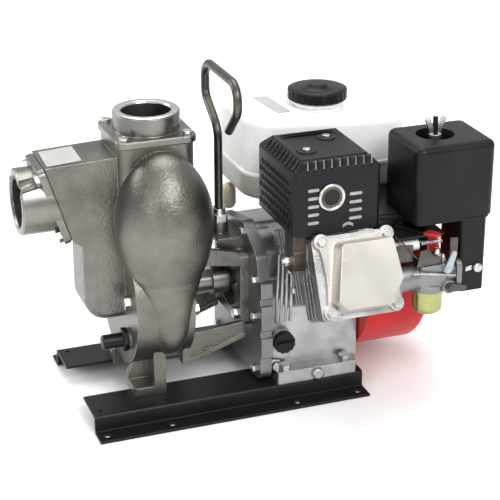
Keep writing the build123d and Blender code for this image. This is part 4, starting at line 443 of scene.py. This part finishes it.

# painted highlights in the slots in the front, and an arc of painted highlight under the outlet
SLOT_END = 1.8
bm = bmesh.new()
for column, count, half in ((OUTLET_X - 21, 5, 6.6), (OUTLET_X + 29, 4, 7.6)):
    for row in range(count):
        z = 247 + 9.5 * row
        points = []
        for k in range(20):
            turn = 2 * pi * k / 20
            side = half - SLOT_END if cos(turn) > 0 else -(half - SLOT_END)
            x = column + side + SLOT_END * cos(turn)
            points.append((x, y0 - 0.2, z + SLOT_END * sin(turn)))
        plate(bm, points[::-1], 0.35)
arc = [(OUTLET_X + 14 + 1.4 * k, 240.5 + 2.6 * sin(k / 9 * pi)) for k in range(10)]
upper = [(x, y0 - 0.2, z) for x, z in arc]
lower = [(x, y0 - 0.2, z - 3.4) for x, z in arc[::-1]]
plate(bm, upper + lower, 0.35)
make("guard_slot_glints", bm, GLINT, "heat_steel", smooth=False)

RING = [(15.6, 0.0), (15.9, 2.0), (14.6, 3.2), (12.6, 2.6), (11.6, 0.4)]
turned("outlet_ring", RING, (OUTLET_X, y0, OUTLET_Z), (0, -1, 0),
       FINISH["bright_steel"], "bright_steel", 48)
turned("outlet_bore_shadow", [(11.7, 0.0), (11.7, 1.2), (10.5, 1.0)], (OUTLET_X, y0, OUTLET_Z),
       (0, -1, 0), SHADOW, "heat_steel", 40)

# ---------------------------------------------------------------- the bulb's lower lobe
# it runs down over the volute, where the CAD's bulb ends inside the drum
LOBE_X = -65.5
LOBE_SEGMENTS = 48
LOBE = (   # height, radius, y of the middle
    (186, 46, -52), (172, 42.5, -53), (154, 36.5, -55.5), (138, 30.5, -60), (122, 25.5, -64),
    (106, 22, -66), (92, 18.5, -65), (80, 14, -62), (72, 8.5, -59), (68.5, 3, -57.5),
)
bm = bmesh.new()
rings = []
for z, r, y in LOBE:
    ring = []
    for k in range(LOBE_SEGMENTS):
        turn = 2 * pi * k / LOBE_SEGMENTS
        ring.append(bm.verts.new(spot(LOBE_X + r * cos(turn), y + r * sin(turn), z)))
    rings.append(ring)
for a, b in zip(rings, rings[1:]):
    band(bm, a, b)
bm.faces.new(rings[0])
bm.faces.new(rings[-1][::-1])
lobe = make("casing_lower_lobe", bm, FINISH["cast_stainless"], "cast_stainless")
rounding = lobe.modifiers.new("rounding", "SUBSURF")
rounding.levels = rounding.render_levels = 2

# ---------------------------------------------------------------- bright turned mouth of the discharge port
low, high = box_mm("discharge_flange")
mouth = ((low[0] + high[0]) / 2, (low[1] + high[1]) / 2, high[2])
turned("discharge_mouth", [(28.9, -10), (28.9, 0.2), (31, 0.7), (36.4, 0.6), (37.6, -0.4)],
       mouth, (0, 0, 1), FINISH["bright_steel"], "bright_steel", 64, capped=False)

# ---------------------------------------------------------------- blank label plates
LABEL_TANK = [(89, -4, 327.4), (106, -1, 326.1), (100.5, 62, 326.6), (82, 61, 327.9)]
LABEL_CHAMBER = [(-190, -27), (-150, -25), (-149, 25), (-188, 23)]
bm = bmesh.new()
plate(bm, LABEL_TANK, 0.5)
make("tank_blank_label", bm, LABEL, "white_tank", bevel=0.0003, smooth=False)
bm = bmesh.new()
plate(bm, [resting(frame["nodes"]["pump_casing"], x, y) for x, y in LABEL_CHAMBER], 1.0)
make("chamber_blank_plate", bm, PLATE, "machined_stainless", bevel=0.0003, smooth=False)

# ---------------------------------------------------------------- fuel cap knob and neck ring
low, high = box_mm("fuel_cap")
cap_x, cap_y, cap_top = (low[0] + high[0]) / 2, (low[1] + high[1]) / 2, high[2]
CROWN = [(34.0, 0.0), (33.0, 1.5), (27, 2.4), (12.5, 2.6), (11.5, 6.0), (9, 7.0), (4, 6.6)]
turned("fuel_cap_crown", CROWN, (cap_x, cap_y, cap_top - 0.6), (0, 0, 1),
       FINISH["black_plastic"], "black_plastic", 48, body="tank_cap")
turned("tank_neck_ring", [(29.5, -6), (31.5, -3), (31.5, -1.2), (28.6, 0.0)],
       (cap_x, cap_y, cap_top - 12), (0, 0, 1), FINISH["white_tank"], "white_tank", 48)

# ---------------------------------------------------------------- carburettor linkage
ROD_POINTS = [(194, -159, 171.5), (205, -160, 171), (247, -159.5, 163)]
LINK_POINTS = [(176, -146, 214), (186, -152, 206), (196, -154, 190), (214, -156, 182), (231, -155, 178)]
COIL_TURNS, COIL_STEPS, COIL_RADIUS = 12, 10, 2.6   # whole turns, points in each turn
rod("choke_rod", ROD_POINTS, 1.5, FINISH["bright_steel"])
rod("governor_link", LINK_POINTS, 1.0, FINISH["handle_steel"], smooth=True)
coil = []
for k in range(COIL_TURNS * COIL_STEPS):
    turn = k / COIL_STEPS * 2 * pi
    coil.append((206 + 0.22 * k, -150 + COIL_RADIUS * cos(turn), 204 + COIL_RADIUS * sin(turn)))
rod("throttle_spring", coil, 0.45, FINISH["bright_steel"], smooth=True)


# ---------------------------------------------------------------- dark ducting by the air cleaner
def upright(bm, x, y, z, depth):
    """A flat plate standing square to the viewer: x and z are each a pair, low and high."""
    plate(bm, [(x[0], y, z[0]), (x[1], y, z[0]), (x[1], y, z[1]), (x[0], y, z[1])], depth)


bm = bmesh.new()
upright(bm, (158, 236), -106, (176, 226), 4.0)
plate(bm, [(158, -106, 224), (250, -106, 224), (250, 6, 224), (158, 6, 224)], 4.0)
upright(bm, (158, 194), -40, (226, 262), 4.0)
upright(bm, (168, 188), -110, (180, 222), 5.0)
upright(bm, (202, 214), -110, (186, 208), 7.0)
make("intake_duct", bm, FINISH["black_plastic"], "black_plastic", bevel=0.0016)

# ---------------------------------------------------------------- dipped tip of the throttle lever
low, high = box_mm("throttle_lever")
tip_x, tip_y, tip_z = high[0] - 5, low[1] + 5, (low[2] + high[2]) / 2
bm = bmesh.new()
TIP = [(4.6, -1.15), (5.3, -0.9), (5.6, 0.4), (5.2, 1.9), (3.4, 2.4)]
lathe(bm, TIP, (tip_x, tip_y, tip_z), (0, 0, 1), 24)
sleeve = ((-13, 7), (-4, -3), (4, 3), (-5, 13))
plate(bm, [(tip_x + dx, tip_y + dy, tip_z - 1.1) for dx, dy in sleeve], 3.4)
make("throttle_tip", bm, FINISH["red_lever"], "red_lever", body="throttle", bevel=0.0008)

# ---------------------------------------------------------------- screws and plates on the carburettor
bm = bmesh.new()
for x, z, r in ((210, 180, 4.4), (228, 182, 5.2), (236, 174, 3.4)):
    screw = [(r, 0), (r, 7), (r * 0.7, 8.5), (r * 0.6, 12), (r * 0.2, 12.4)]
    lathe(bm, screw, (x, -148, z), (0, 0, 1), 20)
make("carburettor_screws", bm, FINISH["bright_steel"], "bright_steel")
bm = bmesh.new()
bracket = ((198, 178), (228, 181), (228, 188), (219, 190), (213, 199), (202, 197))
plate(bm, [(x, -157, z) for x, z in bracket], 1.4)
plate(bm, [(242, -150, 186), (252, -150, 186), (252, -150, 206), (242, -150, 207)], 2.6)
plate(bm, [(174, -150, 186), (196, -150, 184), (196, -150, 204), (176, -150, 206)], 2.4)
make("linkage_plates", bm, FINISH["handle_steel"], "handle_steel", bevel=0.0006)

# ---------------------------------------------------------------- elbow clip and cream tank buffer
turned("elbow_clip_screw", [(5.0, 0), (5.4, 1.5), (5.4, 5.0), (3.8, 5.8), (1.5, 5.9)],
       (276, -154, 167), (0, -1, 0), FINISH["bright_steel"], "bright_steel", 24)
bm = bmesh.new()
plate(bm, [(262, -154.2, 163), (270, -154.2, 164), (270, -154.2, 170), (262, -154.2, 168)], 0.8)
make("elbow_clip_tail", bm, FINISH["bright_steel"], "bright_steel", bevel=0.0004, smooth=False)
BUFFER = [(1, 0), (7, 1), (9, 6), (9, 22), (7.5, 28), (4, 31), (1, 31.5)]
turned("tank_buffer", BUFFER, (51, 62, 192), (0, 0, 1), CREAM, "white_tank", 28)

# ---------------------------------------------------------------- bosses and ribs on the barrel's left
bm = bmesh.new()
for step, (y, z, wide) in enumerate(((-84, 152, 9), (-96, 170, 8), (-88, 128, 10), (-104, 148, 8))):
    boss = [(wide * 0.62, 0), (wide * 0.60, 4), (wide * 0.46, 6.5), (wide * 0.2, 7)]
    lathe(bm, boss, (71 + step, y, z), (-1, 0, 0), 18)
make("barrel_bosses", bm, FINISH["cast_aluminium"], "cast_aluminium")

for step in range(4):
    rib = [
        (60 + 3 * step, -76 - 7 * step, 96 + 4 * step),
        (58 + 3 * step, -84 - 7 * step, 126),
        (60 + 3 * step, -84 - 6 * step, 156 - step),
        (64 + 3 * step, -76 - 5 * step, 182 - 2 * step),
    ]
    rod("barrel_rib_%d" % step, rib, 2.0, FINISH["cast_aluminium"], smooth=True)

# ---------------------------------------------------------------- oil drain bolt and foot boss
turned("oil_drain_bolt", [(8.5, 0), (8.5, 2.5), (6.0, 3.0), (6.0, 8.0), (4.6, 8.8)], (60, -72, 40),
       (0, -1, 0), FINISH["bright_steel"], "bright_steel", 6, bevel=0.0005, smooth=False)
turned("foot_boss", [(7.5, 0), (7.2, 3.4), (5.2, 4.6), (3.0, 4.2)], (107, -92, 30), (0, -1, 0),
       FINISH["cast_aluminium"], "cast_aluminium", 28)

# ---------------------------------------------------------------- floor
FLOOR_HALF, FLOOR_Z = 6, -0.0005
bm = bmesh.new()
for x, y in ((-1, -1), (1, -1), (1, 1), (-1, 1)):
    bm.verts.new((x * FLOOR_HALF, y * FLOOR_HALF, FLOOR_Z))
bm.faces.new(bm.verts)
mesh = bpy.data.meshes.new("floor")
bm.to_mesh(mesh)
bm.free()
floor = bpy.data.objects.new("floor", mesh)
bpy.context.scene.collection.objects.link(floor)
pale, tree, bsdf = shader("pale floor", 0.75, 0.0)
bsdf.inputs["Base Color"].default_value = (0.93, 0.93, 0.93, 1)
dress(floor, pale)

# ---------------------------------------------------------------- world and lights
SKY = [(0.0, 0.62), (0.10, 0.70), (0.35, 0.88), (0.8, 1)]   # share of the way up, grey
world = bpy.data.worlds.new("studio")
world.use_nodes = True
backdrop = world.node_tree
place = backdrop.nodes.new("ShaderNodeTexCoord")
split = backdrop.nodes.new("ShaderNodeSeparateXYZ")
backdrop.links.new(place.outputs["Generated"], split.inputs["Vector"])
sky = ramp(backdrop, split.outputs["Z"], [(height, (grey, grey, grey)) for height, grey in SKY])
backdrop.links.new(sky.outputs["Color"], backdrop.nodes["Background"].inputs["Color"])
backdrop.nodes["Background"].inputs["Strength"].default_value = 0.85
bpy.context.scene.view_settings.view_transform = "Standard"
bpy.context.scene.world = world

middle = Vector((0, 0, 0.17))
for name, place, width, power in (
    ("key", (0.25, -1.9, 1.8), 1.1, 38),
    ("fill", (-1.5, -1.3, 1.1), 0.9, 9),
    ("top", (0.1, 0.5, 2.2), 1.6, 26),
    ("rim", (-1.6, 1.3, 1.0), 0.9, 14),
):
    light = bpy.data.lights.new(name, "AREA")
    light.size = width
    light.energy = power
    lamp = bpy.data.objects.new(name, light)
    lamp.location = place
    lamp.rotation_euler = (middle - Vector(place)).to_track_quat("-Z", "Y").to_euler()
    bpy.context.scene.collection.objects.link(lamp)

# ---------------------------------------------------------------- camera
AZIMUTH, ELEVATION, ROLL = radians(20.08), radians(22.93), radians(0.13)
CAMERA_MM = (-528.5, -1598.4, 878.7)
SENSOR, LENS = 36, 111.636
forward = Vector((sin(AZIMUTH) * cos(ELEVATION), cos(AZIMUTH) * cos(ELEVATION), -sin(ELEVATION)))
right = Vector((cos(AZIMUTH), -sin(AZIMUTH), 0))
up = right.cross(forward)
facing = Matrix((right, up, -forward)).transposed() @ Matrix.Rotation(-ROLL, 3, "Z")
camera_data = bpy.data.cameras.new("camera")
camera_data.sensor_width = SENSOR
camera_data.lens = LENS
camera_data.clip_end = 50
camera = bpy.data.objects.new("camera", camera_data)
camera.matrix_world = Matrix.Translation(spot(*CAMERA_MM)) @ facing.to_4x4()
bpy.context.scene.collection.objects.link(camera)
bpy.context.scene.camera = camera
